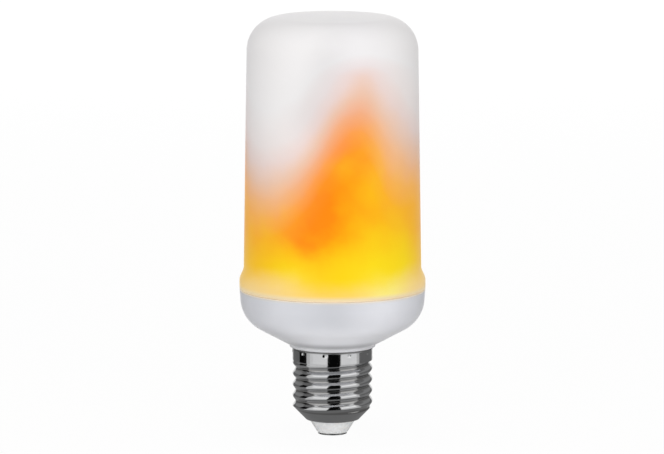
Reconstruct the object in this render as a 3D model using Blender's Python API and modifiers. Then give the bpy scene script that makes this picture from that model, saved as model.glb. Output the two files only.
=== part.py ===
"""Flame effect LED bulb with a 27 mm Edison screw cap, in metres.

The origin is the middle of the centre contact's foot, and +Z runs up the bulb's axis to the globe's crown.
"""

import math

import bmesh
import bpy

# Fits shared by all pieces
GAP = 0.0003

# Screw cap
THREAD_CREST_R = 0.01315
THREAD_DEPTH = 0.00095
THREAD_PITCH = 0.003629
THREAD_TURNS = 4
THREAD_START_Z = 0.00064
THREAD_ROUNDNESS = 0.8
SHEET = 0.00045
COLLAR_HEIGHT = 0.0049
COLLAR_RAMP = 0.0009
COLLAR_LIFT = 0.00005
FOOT_HEIGHT = 0.0045
FOOT_ROUND = 0.00095
FOOT_HOLE_R = 0.00785
DIMPLE_COUNT = 10
DIMPLE_R = 0.00065
DIMPLE_DEPTH = 0.0003
DIMPLE_DROP = 0.0011
DIMPLE_TURN = math.radians(-101)

# Centre contact and its insulator
CONTACT_R = 0.0048
CONTACT_FLAT_R = 0.0024
CONTACT_DOME = 0.0005
CONTACT_BELLY = 0.00015
CONTACT_RIM = 0.0002
RIVET_R = 0.0016
RIVET_HEAD_R = 0.0026
RIVET_HEAD_HEIGHT = 0.0005
INSULATOR_FOOT_R = 0.0051
INSULATOR_CONE = 0.0044
INSULATOR_FLANGE_LAP = 0.00065
INSULATOR_FLANGE = 0.0022

# Base housing
LIP_REACH = 0.0009
LIP_HEIGHT = 0.0008
BOWL_FOOT_STEP = 0.0007
BOWL_SLOPE_ANGLE = math.radians(28)
BOWL_R = 0.03035
BOWL_HEIGHT = 0.0183
BOWL_RIM = 0.0032
BOWL_WALL = 0.0018
NECK_LIFT = 0.0011
NECK_WALL = 0.00175
RAIL_REACH = 0.0024
RAIL_THICKNESS = 0.001
RAIL_LENGTH = 0.012
POST_R = 0.0026
POST_INSET = 0.0055
POST_COUNT = 3
POST_TURN = math.radians(30)
WIRE_GROOVE_WIDTH = 0.0014

# Diffuser globe
SKIRT_PROUD = 0.00015
SKIRT_HEIGHT = 0.0036
SHOULDER_HEIGHT = 0.0044
SHOULDER_STEP = 0.0014
GLOBE_TAPER = 0.0011
GLOBE_CORNER = 0.011
GLOBE_CROWN = 0.00035
CROWN_TILT = 2
GLOBE_DRAFT = 1
GLOBE_HEIGHT = 0.0904
GLOBE_WALL = 0.0013
SPIGOT_DEPTH = 0.0025

# Mounting plate and the carrier on it
PLATE_THICKNESS = 0.0015
PLATE_DROP = 0.0004
PLATE_HOLE_R = 0.006
CARRIER_WALL = 0.0015
CARRIER_HEADROOM = 0.0166
CARRIER_FLANGE = 0.0015
FLANGE_CLEARANCE = 0.0007
CARRIER_SLOT_WIDTH = 0.005
CARRIER_SLOT_HEIGHT = 0.006
FLANGE_SCREW_INSET = 0.0022
FLANGE_SCREW_COUNT = 2
FLANGE_SCREW_TURN = math.radians(50)
TUBE_CLEARANCE = 0.0006
PLATE_BOSS_R = 0.0024
PLATE_BOSS_HEIGHT = 0.004

# Screws
SCREW_SHANK_R = 0.0011
SCREW_HEAD_R = 0.0023
SCREW_HEAD_HEIGHT = 0.0014
SCREW_HEAD_ROUND = 0.0007
PLATE_SCREW_LENGTH = 0.008
FLANGE_SCREW_LENGTH = 0.006
FLANGE_SCREW_HEAD_R = 0.0019
SCREW_SLOT_WIDTH = 0.0006
SCREW_SLOT_DEPTH = 0.0006

# Lit boards
FLEX_THICKNESS = 0.0003
FLEX_LIFT = 0.0042
FLEX_DROP = 0.0025
FLEX_SEAM = 0.003
CHIP_WIDTH = 0.0028
CHIP_HEIGHT = 0.0035
CHIP_THICKNESS = 0.0008
CHIP_SINK = 0.0002
CHIP_COLUMNS = 12
CHIP_ROWS = 8
CHIP_MARGIN = 0.005
TOP_BOARD_INSET = 0.0007
TOP_BOARD_THICKNESS = 0.0012
TOP_CHIP_INSET = 0.0042
TOP_CHIP_COUNT = 6
CONTROL_CHIP_LENGTH = 0.0099
CONTROL_CHIP_WIDTH = 0.0039
CONTROL_CHIP_THICKNESS = 0.0015
CONTROL_CHIP_LEAD_COUNT = 8
CONTROL_CHIP_SIDE = -0.003

# Driver board and what is soldered to it
BOARD_THICKNESS = 0.0016
BOARD_SIDE_CLEARANCE = 0.0007
BOARD_BOWL_HALF = 0.015
BOARD_FOOT_LIFT = 0.001
BOARD_HEAD_DROP = 0.002
BOARD_SHOULDER_LIFT = 0.0038
BOARD_CORNER = 0.002
INPUT_CAN_CLEARANCE = 0.0006
INPUT_CAN_LENGTH = 0.014
INPUT_CAN_LIFT = 0.0015
OUTPUT_CAN_R = 0.00315
OUTPUT_CAN_LENGTH = 0.0078
OUTPUT_CAN_SIDE = -0.0088
CAN_ROUND = 0.0005
CAN_GROOVE = 0.0004
CAN_GROOVE_LIFT = 0.0016
INDUCTOR_R = 0.0045
INDUCTOR_WAIST_R = 0.0036
INDUCTOR_FLANGE = 0.0011
INDUCTOR_LENGTH = 0.009
INDUCTOR_SIDE = 0.0085
BOWL_PART_LIFT = 0.0034
FILM_WIDTH = 0.006
FILM_DEPTH = 0.004
FILM_LENGTH = 0.009
FILM_SIDE = -0.0007
RECTIFIER_WIDTH = 0.0064
RECTIFIER_LENGTH = 0.0085
RECTIFIER_THICKNESS = 0.0026
RECTIFIER_LEAD_COUNT = 2
RECTIFIER_SIDE = -0.0085
DRIVER_CHIP_WIDTH = 0.0039
DRIVER_CHIP_LENGTH = 0.0049
DRIVER_CHIP_THICKNESS = 0.0015
DRIVER_CHIP_LEAD_COUNT = 4
DRIVER_CHIP_SIDE = 0.0085
LEAD_WIDTH = 0.0004
LEAD_REACH = 0.001
LEAD_THICKNESS = 0.0003
RESISTOR_R = 0.0016
RESISTOR_LENGTH = 0.0075
RESISTOR_NECK_R = 0.0013
RESISTOR_CAP = 0.0024
RESISTOR_CAP_ROUND = 0.0008
RESISTOR_LEAD_R = 0.0004
RESISTOR_LEAD = 0.0012

# Wires
LEAD_WIRE_R = 0.0006
BARE_WIRE_R = 0.0004
WIRE_PAD_SIDE = 0.0065
WIRE_PAD_LIFT = 0.002
WIRE_SPREAD = 0.0025
WIRE_BACK = 0.003
WIRE_BEND = 0.005
WIRE_BENDS_PER_SPAN = 2
NEUTRAL_RISE = 0.010

# How finely round forms are faceted
BIG_STEPS = 48
SHELL_STEPS = 36
SMALL_STEPS = 24
CAN_STEPS = 16
TINY_STEPS = 12
THREAD_ROWS_PER_TURN = 5
FOOT_ROWS = 3
CORNER_STEPS = 6
BOWL_STEPS = 8
SHOULDER_STEPS = 4
PUNCH_STEPS = 8
WELD = 0.00001
SHARP_ANGLE = math.radians(40)

# Heights that follow from the sizes above, from the contact's foot up
CONTACT_TOP = CONTACT_DOME + CONTACT_RIM
INSULATOR_FOOT = CONTACT_TOP + GAP
SHELL_FOOT = INSULATOR_FOOT + INSULATOR_CONE
THREAD_BOTTOM = SHELL_FOOT + FOOT_HEIGHT
THREAD_TOP = THREAD_BOTTOM + THREAD_TURNS * THREAD_PITCH
SHELL_RIM = THREAD_TOP + COLLAR_HEIGHT
FLANGE_FOOT = SHELL_FOOT + SHEET + GAP
INSULATOR_TOP = FLANGE_FOOT + INSULATOR_FLANGE
LIP_FOOT = SHELL_RIM + GAP
LIP_TOP = LIP_FOOT + LIP_HEIGHT
HOUSING_TOP = LIP_FOOT + BOWL_HEIGHT
NECK_FOOT = THREAD_BOTTOM + NECK_LIFT
SKIRT_FOOT = HOUSING_TOP + GAP
SPIGOT_FOOT = SKIRT_FOOT - SPIGOT_DEPTH
GLOBE_TOP = SKIRT_FOOT + GLOBE_HEIGHT
PLATE_TOP = HOUSING_TOP - PLATE_DROP
PLATE_FOOT = PLATE_TOP - PLATE_THICKNESS
POST_TOP = PLATE_FOOT - GAP
CARRIER_FOOT = PLATE_TOP + GAP
CARRIER_FLANGE_TOP = CARRIER_FOOT + CARRIER_FLANGE
CARRIER_TOP = GLOBE_TOP - CARRIER_HEADROOM
FLEX_FOOT = CARRIER_FLANGE_TOP + FLEX_LIFT
FLEX_HEAD = CARRIER_TOP - FLEX_DROP
FLEX_HEIGHT = FLEX_HEAD - FLEX_FOOT
CHIP_ROW_PITCH = (FLEX_HEIGHT - 2 * CHIP_MARGIN) / (CHIP_ROWS - 1)
TOP_BOARD_FOOT = CARRIER_TOP + GAP
BOARD_FOOT = NECK_FOOT + BOARD_FOOT_LIFT
BOARD_HEAD = PLATE_FOOT - BOARD_HEAD_DROP
BOARD_SHOULDER = LIP_FOOT + BOARD_SHOULDER_LIFT
BOWL_PART_FOOT = LIP_TOP + BOWL_PART_LIFT

# Radii that follow from the sizes above
THREAD_ROOT_R = THREAD_CREST_R - THREAD_DEPTH
COLLAR_R = THREAD_CREST_R + COLLAR_LIFT
NECK_R = THREAD_ROOT_R - SHEET - GAP
NECK_BORE_R = NECK_R - NECK_WALL
RIVET_HOLE_R = RIVET_R + GAP
INSULATOR_NECK_R = FOOT_HOLE_R - GAP
INSULATOR_FLANGE_R = FOOT_HOLE_R + INSULATOR_FLANGE_LAP
LIP_R = COLLAR_R + LIP_REACH
BOWL_NECK_R = LIP_R + BOWL_FOOT_STEP
SKIRT_R = BOWL_R + SKIRT_PROUD
GLOBE_FOOT_R = SKIRT_R - SHOULDER_STEP
GLOBE_TOP_R = GLOBE_FOOT_R - GLOBE_TAPER
BOWL_BORE_R = SKIRT_R - BOWL_WALL
SPIGOT_R = BOWL_BORE_R - GAP
PLATE_R = SPIGOT_R - GLOBE_WALL - GAP
POST_CIRCLE_R = BOWL_BORE_R - POST_INSET
CARRIER_FLANGE_R = POST_CIRCLE_R - SCREW_HEAD_R - FLANGE_CLEARANCE
FLANGE_SCREW_CIRCLE_R = CARRIER_FLANGE_R - FLANGE_SCREW_INSET
CARRIER_R = FLANGE_SCREW_CIRCLE_R - FLANGE_SCREW_HEAD_R - TUBE_CLEARANCE
CARRIER_BORE_R = CARRIER_R - CARRIER_WALL
FLEX_INNER_R = CARRIER_R + GAP
FLEX_R = FLEX_INNER_R + FLEX_THICKNESS
TOP_BOARD_R = CARRIER_R - TOP_BOARD_INSET
TOP_CHIP_CIRCLE_R = TOP_BOARD_R - TOP_CHIP_INSET
SCREW_HOLE_R = SCREW_SHANK_R + GAP

# Sizes across the driver board, and the sides it faces
BOARD_FACE = BOARD_THICKNESS / 2
BOARD_NECK_HALF = NECK_BORE_R - BOARD_SIDE_CLEARANCE
INPUT_CAN_R = (NECK_BORE_R - INPUT_CAN_CLEARANCE - BOARD_FACE - GAP) / 2
FRONT = -1
BACK = 1


def clear_scene():
    for obj in list(bpy.data.objects):
        bpy.data.objects.remove(obj, do_unlink=True)


def new_collection(name):
    collection = bpy.data.collections.new(name)
    bpy.context.scene.collection.children.link(collection)
    return collection


def finish(name, colour, roughness, metallic=0.0):
    material = bpy.data.materials.new(name)
    material.use_nodes = True
    shader = material.node_tree.nodes["Principled BSDF"]
    shader.inputs["Base Color"].default_value = (*colour, 1.0)
    shader.inputs["Roughness"].default_value = roughness
    shader.inputs["Metallic"].default_value = metallic
    return material


def add_object(name, mesh, collection, material=None):
    obj = bpy.data.objects.new(name, mesh)
    collection.objects.link(obj)
    if material:
        mesh.materials.append(material)
    return obj


def make_cutter(obj):
    obj.hide_render = True
    obj.display_type = "WIRE"
    return obj


def arc(center_r, center_z, radius, start_deg, end_deg, steps):
    """Points on an arc in the profile plane, both ends included."""
    points = []
    for i in range(steps + 1):
        turn = math.radians(start_deg + (end_deg - start_deg) * i / steps)
        points.append((center_r + radius * math.cos(turn), center_z + radius * math.sin(turn)))
    return points


def profile_mesh(name, profile, closed):
    """Edges through the profile's (radius, height) points at +X."""
    mesh = bpy.data.meshes.new(name)
    points = [(r, 0.0, z) for r, z in profile]
    edges = [(i, i + 1) for i in range(len(points) - 1)]
    if closed:
        edges.append((len(points) - 1, 0))
    mesh.from_pydata(points, edges, [])
    return mesh


def turned(name, profile, collection, material=None, steps=BIG_STEPS, closed=True):
    """A solid of revolution. Its profile runs down the outer side, top to bottom."""
    obj = add_object(name, profile_mesh(name, profile, closed), collection, material)
    screw = obj.modifiers.new("Turn", "SCREW")
    screw.axis = "Z"
    screw.angle = 2 * math.pi
    screw.steps = steps
    screw.render_steps = steps
    screw.use_merge_vertices = True
    screw.merge_threshold = WELD
    screw.use_smooth_shade = True
    return obj


def baked(obj):
    """Replaces the object's modifiers by their result, with its doubles merged."""
    graph = bpy.context.evaluated_depsgraph_get()
    mesh = bpy.data.meshes.new_from_object(obj.evaluated_get(graph))
    obj.modifiers.clear()
    obj.data = mesh
    form = bmesh.new()
    form.from_mesh(mesh)
    bmesh.ops.remove_doubles(form, verts=form.verts, dist=WELD)
    form.to_mesh(mesh)
    form.free()
    mesh.shade_smooth()
    mesh.set_sharp_from_angle(angle=SHARP_ANGLE)
    return obj


def box(name, size, centre, collection, material=None, turn=0.0):
    mesh = bpy.data.meshes.new(name)
    form = bmesh.new()
    bmesh.ops.create_cube(form, size=1.0)
    bmesh.ops.scale(form, vec=size, verts=form.verts)
    form.to_mesh(mesh)
    form.free()
    obj = add_object(name, mesh, collection, material)
    obj.location = centre
    obj.rotation_euler = (0.0, 0.0, turn)
    return obj


def rod(name, radius, foot, top, place, collection, material=None, steps=TINY_STEPS):
    """An upright cylinder between two heights."""
    mesh = bpy.data.meshes.new(name)
    form = bmesh.new()
    bmesh.ops.create_cone(
        form, cap_ends=True, segments=steps, radius1=radius, radius2=radius, depth=top - foot
    )
    form.to_mesh(mesh)
    form.free()
    obj = add_object(name, mesh, collection, material)
    obj.location = (place[0], place[1], (foot + top) / 2)
    return obj


def combine(obj, other, operation):
    step = obj.modifiers.new(f"{operation.title()} {other.name}", "BOOLEAN")
    step.operation = operation
    step.solver = "EXACT"
    step.object = make_cutter(other)
    return obj


def on_circle(radius, count, turn):
    """(x, y, angle) of points spaced evenly round the axis."""
    places = []
    for i in range(count):
        angle = turn + 2 * math.pi * i / count
        places.append((radius * math.cos(angle), radius * math.sin(angle), angle))
    return places


def smooth_step(low, high, value):
    share = min(max((value - low) / (high - low), 0.0), 1.0)
    return share * share * (3 - 2 * share)


# Screw cap


def foot_cone_r(z):
    """Radius of the cap's coned foot, which leads into the thread."""
    start_r = FOOT_HOLE_R + FOOT_ROUND + SHEET
    start_z = SHELL_FOOT + SHEET
    return start_r + (THREAD_CREST_R - start_r) * (z - start_z) / (THREAD_BOTTOM - start_z)


def thread_r(angle, z):
    """Outer radius of the rolled sheet: a right-hand thread that runs out in the collar and the foot."""
    phase = (z - THREAD_START_Z) / THREAD_PITCH - angle / (2 * math.pi)
    wave = (0.5 + 0.5 * math.cos(2 * math.pi * phase)) ** THREAD_ROUNDNESS
    rolled = THREAD_ROOT_R + THREAD_DEPTH * wave
    rise = smooth_step(THREAD_TOP - COLLAR_RAMP, THREAD_TOP, z)
    collar = THREAD_ROOT_R + (COLLAR_R - THREAD_ROOT_R) * rise
    return min(foot_cone_r(z), max(rolled, collar))


def shell_rows():
    """Heights of the sheet's rows between the foot and the collar, top to bottom."""
    rows = THREAD_ROWS_PER_TURN * THREAD_TURNS
    pitch = (THREAD_TOP - THREAD_BOTTOM) / rows
    return [THREAD_TOP - pitch * i for i in range(rows + FOOT_ROWS + 1)]


def build_screw_shell(parts, cutters, plated):
    heights = shell_rows()
    outer = [(COLLAR_R, SHELL_RIM), (COLLAR_R, SHELL_RIM - DIMPLE_DROP)]
    outer += [(COLLAR_R, z) for z in heights]
    outer += [(FOOT_HOLE_R + FOOT_ROUND, SHELL_FOOT), (FOOT_HOLE_R, SHELL_FOOT)]
    floor = SHELL_FOOT + SHEET
    inner = [(FOOT_HOLE_R, floor), (FOOT_HOLE_R + FOOT_ROUND - SHEET, floor)]
    inner += [(COLLAR_R - SHEET, z) for z in reversed(heights)]
    inner += [(COLLAR_R - SHEET, SHELL_RIM)]
    shell = baked(turned("screw_shell", outer + inner, parts, plated, SHELL_STEPS))
    for vertex in shell.data.vertices:
        x, y, z = vertex.co
        radius = math.hypot(x, y)
        if heights[-1] - SHEET < z < SHELL_RIM and radius > COLLAR_R - 2 * SHEET:
            lost = COLLAR_R - thread_r(math.atan2(y, x), z)
            vertex.co.x = x * (radius - lost) / radius
            vertex.co.y = y * (radius - lost) / radius
    for x, y, angle in on_circle(COLLAR_R + DIMPLE_R - DIMPLE_DEPTH, DIMPLE_COUNT, DIMPLE_TURN):
        mesh = bpy.data.meshes.new("crimp_punch")
        form = bmesh.new()
        bmesh.ops.create_uvsphere(form, u_segments=PUNCH_STEPS, v_segments=PUNCH_STEPS, radius=DIMPLE_R)
        form.to_mesh(mesh)
        form.free()
        punch = add_object("crimp_punch", mesh, cutters)
        punch.location = (x, y, SHELL_RIM - DIMPLE_DROP)
        punch.rotation_euler = (0.0, 0.0, angle)
        combine(shell, punch, "DIFFERENCE")
    return shell


def build_insulator(parts, clear_plastic):
    profile = [
        (RIVET_HOLE_R, INSULATOR_TOP),
        (INSULATOR_FLANGE_R, INSULATOR_TOP),
        (INSULATOR_FLANGE_R, FLANGE_FOOT),
        (INSULATOR_NECK_R, FLANGE_FOOT),
        (INSULATOR_NECK_R, SHELL_FOOT - GAP),
        (INSULATOR_FOOT_R, INSULATOR_FOOT + CONTACT_RIM),
        (INSULATOR_FOOT_R - CONTACT_RIM, INSULATOR_FOOT),
        (RIVET_HOLE_R, INSULATOR_FOOT),
    ]
    return turned("cap_insulator", profile, parts, clear_plastic, SMALL_STEPS)


def build_contact(parts, plated):
    rivet_top = INSULATOR_TOP + GAP
    profile = [
        (0.0, rivet_top + RIVET_HEAD_HEIGHT),
        (RIVET_HEAD_R, rivet_top + RIVET_HEAD_HEIGHT),
        (RIVET_HEAD_R, rivet_top),
        (RIVET_R, rivet_top),
        (RIVET_R, CONTACT_TOP),
        (CONTACT_R, CONTACT_TOP),
        (CONTACT_R, CONTACT_DOME),
        ((CONTACT_R + CONTACT_FLAT_R) / 2, CONTACT_BELLY),
        (CONTACT_FLAT_R, 0.0),
        (0.0, 0.0),
    ]
    return turned("centre_contact", profile, parts, plated, SMALL_STEPS, closed=False)


# Base housing


def bowl_round():
    """Radius of the bowl's round, which meets its slope below and its upright rim above."""
    rise = math.tan(BOWL_SLOPE_ANGLE)
    left = BOWL_HEIGHT - LIP_HEIGHT - BOWL_RIM - (BOWL_R - BOWL_NECK_R) * rise
    return left / (math.cos(BOWL_SLOPE_ANGLE) - rise * (1 - math.sin(BOWL_SLOPE_ANGLE)))


def bowl_outline(wall):
    """The bowl's side from its rim down to the neck, moved inwards by a wall."""
    centre_r = BOWL_R - bowl_round()
    centre_z = HOUSING_TOP - BOWL_RIM
    foot_turn = math.degrees(BOWL_SLOPE_ANGLE) - 90
    side = arc(centre_r, centre_z, bowl_round() - wall, 0, foot_turn, BOWL_STEPS)
    foot_r = BOWL_NECK_R - wall * math.sin(BOWL_SLOPE_ANGLE)
    foot_z = LIP_TOP + wall * math.cos(BOWL_SLOPE_ANGLE)
    return side + [(foot_r, foot_z)]


def build_housing(parts, cutters, white_plastic):
    outer = [(0.0, HOUSING_TOP), (SKIRT_R, HOUSING_TOP)] + bowl_outline(0.0)
    outer += [(LIP_R, LIP_TOP), (LIP_R, LIP_FOOT), (NECK_R, LIP_FOOT)]
    outer += [(NECK_R, NECK_FOOT), (0.0, NECK_FOOT)]
    housing = turned("base_housing", outer, parts, white_plastic, closed=False)

    above = HOUSING_TOP + GAP
    inner = [(0.0, above), (BOWL_BORE_R, above)] + bowl_outline(BOWL_WALL)
    neck_entry = inner[-1][1] - (inner[-1][0] - NECK_BORE_R) * math.tan(BOWL_SLOPE_ANGLE)
    inner += [(NECK_BORE_R, neck_entry), (NECK_BORE_R, NECK_FOOT - GAP), (0.0, NECK_FOOT - GAP)]
    cavity = turned("bowl_cavity", inner, cutters, closed=False)

    pilot_foot = POST_TOP - PLATE_SCREW_LENGTH
    for x, y, _ in on_circle(POST_CIRCLE_R, POST_COUNT, POST_TURN):
        post = rod("post_form", POST_R, LIP_TOP, POST_TOP, (x, y), cutters)
        pilot = rod("pilot_form", SCREW_HOLE_R, pilot_foot, POST_TOP + GAP, (x, y), cutters)
        combine(cavity, combine(post, pilot, "DIFFERENCE"), "DIFFERENCE")
    rail_reach = NECK_BORE_R - BOARD_NECK_HALF + RAIL_REACH
    for side in (-1, 1):
        for face in (FRONT, BACK):
            centre = (
                side * (NECK_BORE_R + NECK_WALL / 2 - rail_reach / 2),
                face * (BOARD_FACE + GAP + RAIL_THICKNESS / 2),
                LIP_FOOT - RAIL_LENGTH / 2,
            )
            size = (rail_reach + NECK_WALL, RAIL_THICKNESS, RAIL_LENGTH)
            combine(cavity, box("rail_form", size, centre, cutters), "DIFFERENCE")
    combine(housing, cavity, "DIFFERENCE")

    groove_depth = 2 * BARE_WIRE_R + GAP
    groove_top = NECK_FOOT + NEUTRAL_RISE + GAP
    groove = box(
        "wire_groove",
        (2 * groove_depth, WIRE_GROOVE_WIDTH, groove_top - NECK_FOOT + 2 * GAP),
        (NECK_R, 0.0, (groove_top + NECK_FOOT - 2 * GAP) / 2),
        cutters,
    )
    return combine(housing, groove, "DIFFERENCE")


# Diffuser globe


def globe_outline():
    """The globe's outer side from its crown down to the foot of its spigot."""
    flat_r = GLOBE_TOP_R - GLOBE_CORNER
    corner_z = GLOBE_TOP - GLOBE_CROWN - GLOBE_CORNER
    outline = [(0.0, GLOBE_TOP), (flat_r / 2, GLOBE_TOP - GLOBE_CROWN / 4)]
    outline += arc(flat_r, corner_z, GLOBE_CORNER, 90 - CROWN_TILT, GLOBE_DRAFT, CORNER_STEPS)
    for i in range(SHOULDER_STEPS + 1):
        share = i / SHOULDER_STEPS
        radius = GLOBE_FOOT_R + (SKIRT_R - GLOBE_FOOT_R) * smooth_step(0, 1, share)
        outline.append((radius, SKIRT_FOOT + SKIRT_HEIGHT + SHOULDER_HEIGHT * (1 - share)))
    outline += [(SKIRT_R, SKIRT_FOOT), (SPIGOT_R, SKIRT_FOOT), (SPIGOT_R, SPIGOT_FOOT)]
    return outline


def build_globe(parts, frosted):
    globe = turned("diffuser_globe", globe_outline(), parts, frosted, closed=False)
    wall = globe.modifiers.new("Wall", "SOLIDIFY")
    wall.thickness = GLOBE_WALL
    wall.offset = -1.0
    wall.use_even_offset = True
    return globe


# Plate, carrier and lit boards


def flange_screw_places():
    return on_circle(FLANGE_SCREW_CIRCLE_R, FLANGE_SCREW_COUNT, FLANGE_SCREW_TURN)


def build_plate(parts, cutters, white_plastic):
    profile = [
        (PLATE_HOLE_R, PLATE_TOP),
        (PLATE_R, PLATE_TOP),
        (PLATE_R, PLATE_FOOT),
        (PLATE_HOLE_R, PLATE_FOOT),
    ]
    plate = turned("mounting_plate", profile, parts, white_plastic)
    boss_foot = PLATE_FOOT - PLATE_BOSS_HEIGHT
    middle = PLATE_FOOT + PLATE_THICKNESS / 2
    for x, y, _ in flange_screw_places():
        combine(plate, rod("boss_form", PLATE_BOSS_R, boss_foot, middle, (x, y), cutters), "UNION")
    for x, y, _ in flange_screw_places():
        hole = rod("boss_hole", SCREW_HOLE_R, boss_foot - GAP, PLATE_TOP + GAP, (x, y), cutters)
        combine(plate, hole, "DIFFERENCE")
    for x, y, _ in on_circle(POST_CIRCLE_R, POST_COUNT, POST_TURN):
        hole = rod("plate_hole", SCREW_HOLE_R, PLATE_FOOT - GAP, PLATE_TOP + GAP, (x, y), cutters)
        combine(plate, hole, "DIFFERENCE")
    return plate


def build_carrier(parts, cutters, white_plastic):
    profile = [
        (CARRIER_BORE_R, CARRIER_TOP),
        (CARRIER_R, CARRIER_TOP),
        (CARRIER_R, CARRIER_FLANGE_TOP),
        (CARRIER_FLANGE_R, CARRIER_FLANGE_TOP),
        (CARRIER_FLANGE_R, CARRIER_FOOT),
        (CARRIER_BORE_R, CARRIER_FOOT),
    ]
    carrier = turned("led_carrier_tube", profile, parts, white_plastic, SMALL_STEPS)
    for place in flange_screw_places():
        low = CARRIER_FOOT - GAP
        high = CARRIER_FLANGE_TOP + GAP
        combine(carrier, rod("flange_hole", SCREW_HOLE_R, low, high, place, cutters), "DIFFERENCE")
    slot = box(
        "lead_slot",
        (CARRIER_SLOT_WIDTH, 2 * CARRIER_WALL + GAP, 2 * CARRIER_SLOT_HEIGHT),
        (0.0, CARRIER_R, CARRIER_TOP),
        cutters,
    )
    return combine(carrier, slot, "DIFFERENCE")


def add_chips(form_name, places, cutters, size):
    """One cutter mesh that holds a block for each (centre, angle) in places."""
    mesh = bpy.data.meshes.new(form_name)
    form = bmesh.new()
    for centre, angle in places:
        made = bmesh.ops.create_cube(form, size=1.0)["verts"]
        bmesh.ops.scale(form, vec=size, verts=made)
        for vertex in made:
            x = vertex.co.x
            y = vertex.co.y
            vertex.co.x = x * math.cos(angle) - y * math.sin(angle) + centre[0]
            vertex.co.y = x * math.sin(angle) + y * math.cos(angle) + centre[1]
            vertex.co.z += centre[2]
    form.to_mesh(mesh)
    form.free()
    return add_object(form_name, mesh, cutters)


def build_flame_board(parts, cutters, board_white):
    profile = [
        (FLEX_INNER_R, FLEX_HEAD),
        (FLEX_R, FLEX_HEAD),
        (FLEX_R, FLEX_FOOT),
        (FLEX_INNER_R, FLEX_FOOT),
    ]
    board = turned("flame_led_board", profile, parts, board_white, SHELL_STEPS)
    depth = CHIP_THICKNESS + CHIP_SINK
    chip_r = FLEX_R - CHIP_SINK + depth / 2
    seam_turn = math.pi / 2
    half_column = math.pi / CHIP_COLUMNS
    places = []
    for x, y, angle in on_circle(chip_r, CHIP_COLUMNS, seam_turn + half_column):
        for row in range(CHIP_ROWS):
            level = FLEX_FOOT + CHIP_MARGIN + row * CHIP_ROW_PITCH
            places.append(((x, y, level), angle))
    chips = add_chips("chip_forms", places, cutters, (depth, CHIP_WIDTH, CHIP_HEIGHT))
    combine(board, chips, "UNION")
    seam_size = (FLEX_SEAM, 4 * (FLEX_R - CARRIER_R), FLEX_HEIGHT + 2 * GAP)
    seam = box("flex_seam", seam_size, (0.0, FLEX_R, (FLEX_HEAD + FLEX_FOOT) / 2), cutters)
    return combine(board, seam, "DIFFERENCE")


def build_top_board(parts, cutters, board_white):
    head = TOP_BOARD_FOOT + TOP_BOARD_THICKNESS
    centre = (0.0, 0.0)
    board = rod(
        "top_led_board", TOP_BOARD_R, TOP_BOARD_FOOT, head, centre, parts, board_white, SMALL_STEPS
    )
    depth = CHIP_THICKNESS + CHIP_SINK
    level = head - CHIP_SINK + depth / 2
    places = [((0.0, 0.0, level), 0.0)]
    for x, y, angle in on_circle(TOP_CHIP_CIRCLE_R, TOP_CHIP_COUNT, 0.0):
        places.append(((x, y, level), angle))
    chips = add_chips("top_chip_forms", places, cutters, (CHIP_WIDTH, CHIP_HEIGHT, depth))
    return combine(board, chips, "UNION")


# Electronics


def build_leaded_chip(name, size, leads, place, upright, parts, cutters, black_plastic):
    """A moulded block with leads on both long sides, lying on an upright or a level board."""
    width, length, thickness = size
    body = (width, thickness, length) if upright else (width, length, thickness)
    chip = box(name, body, place, parts, black_plastic)
    spread = length / leads
    for i in range(leads):
        shift = (i + 0.5) * spread - length / 2
        reach = width + 2 * LEAD_REACH
        if upright:
            lead_size = (reach, LEAD_THICKNESS, LEAD_WIDTH)
            centre = (place[0], place[1], place[2] + shift)
        else:
            lead_size = (reach, LEAD_WIDTH, LEAD_THICKNESS)
            centre = (place[0], place[1] + shift, place[2])
        combine(chip, box(f"{name}_lead", lead_size, centre, cutters), "UNION")
    return chip


def build_driver_board(parts, laminate):
    """The board's flat outline: narrow in the neck, wider in the bowl."""
    cut = BOARD_CORNER
    half = [
        (BOARD_NECK_HALF - cut, BOARD_FOOT),
        (BOARD_NECK_HALF, BOARD_FOOT + cut),
        (BOARD_NECK_HALF, BOARD_SHOULDER - cut),
        (BOARD_BOWL_HALF, BOARD_SHOULDER + cut),
        (BOARD_BOWL_HALF, BOARD_HEAD - cut),
        (BOARD_BOWL_HALF - cut, BOARD_HEAD),
    ]
    outline = half + [(-x, z) for x, z in reversed(half)]
    curve = bpy.data.curves.new("driver_board", "CURVE")
    curve.dimensions = "2D"
    curve.fill_mode = "BOTH"
    curve.extrude = BOARD_FACE
    spline = curve.splines.new("POLY")
    spline.points.add(len(outline) - 1)
    for point, (x, z) in zip(spline.points, outline):
        point.co = (x, z, 0.0, 1.0)
    spline.use_cyclic_u = True
    curve.materials.append(laminate)
    board = bpy.data.objects.new("driver_board", curve)
    parts.objects.link(board)
    board.rotation_euler = (math.pi / 2, 0.0, 0.0)
    return board


def build_can(name, radius, length, x, foot, parts, sleeve):
    """An electrolytic can that stands beside the board's front, with its crimp groove near the foot."""
    head = foot + length
    groove = foot + CAN_GROOVE_LIFT
    profile = [
        (0.0, head),
        (radius - CAN_ROUND, head),
        (radius, head - CAN_ROUND),
        (radius, groove + CAN_GROOVE),
        (radius - CAN_GROOVE, groove),
        (radius, groove - CAN_GROOVE),
        (radius, foot),
        (0.0, foot),
    ]
    can = turned(name, profile, parts, sleeve, CAN_STEPS, closed=False)
    can.location = (x, FRONT * (BOARD_FACE + GAP + radius), 0.0)
    return can


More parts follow.
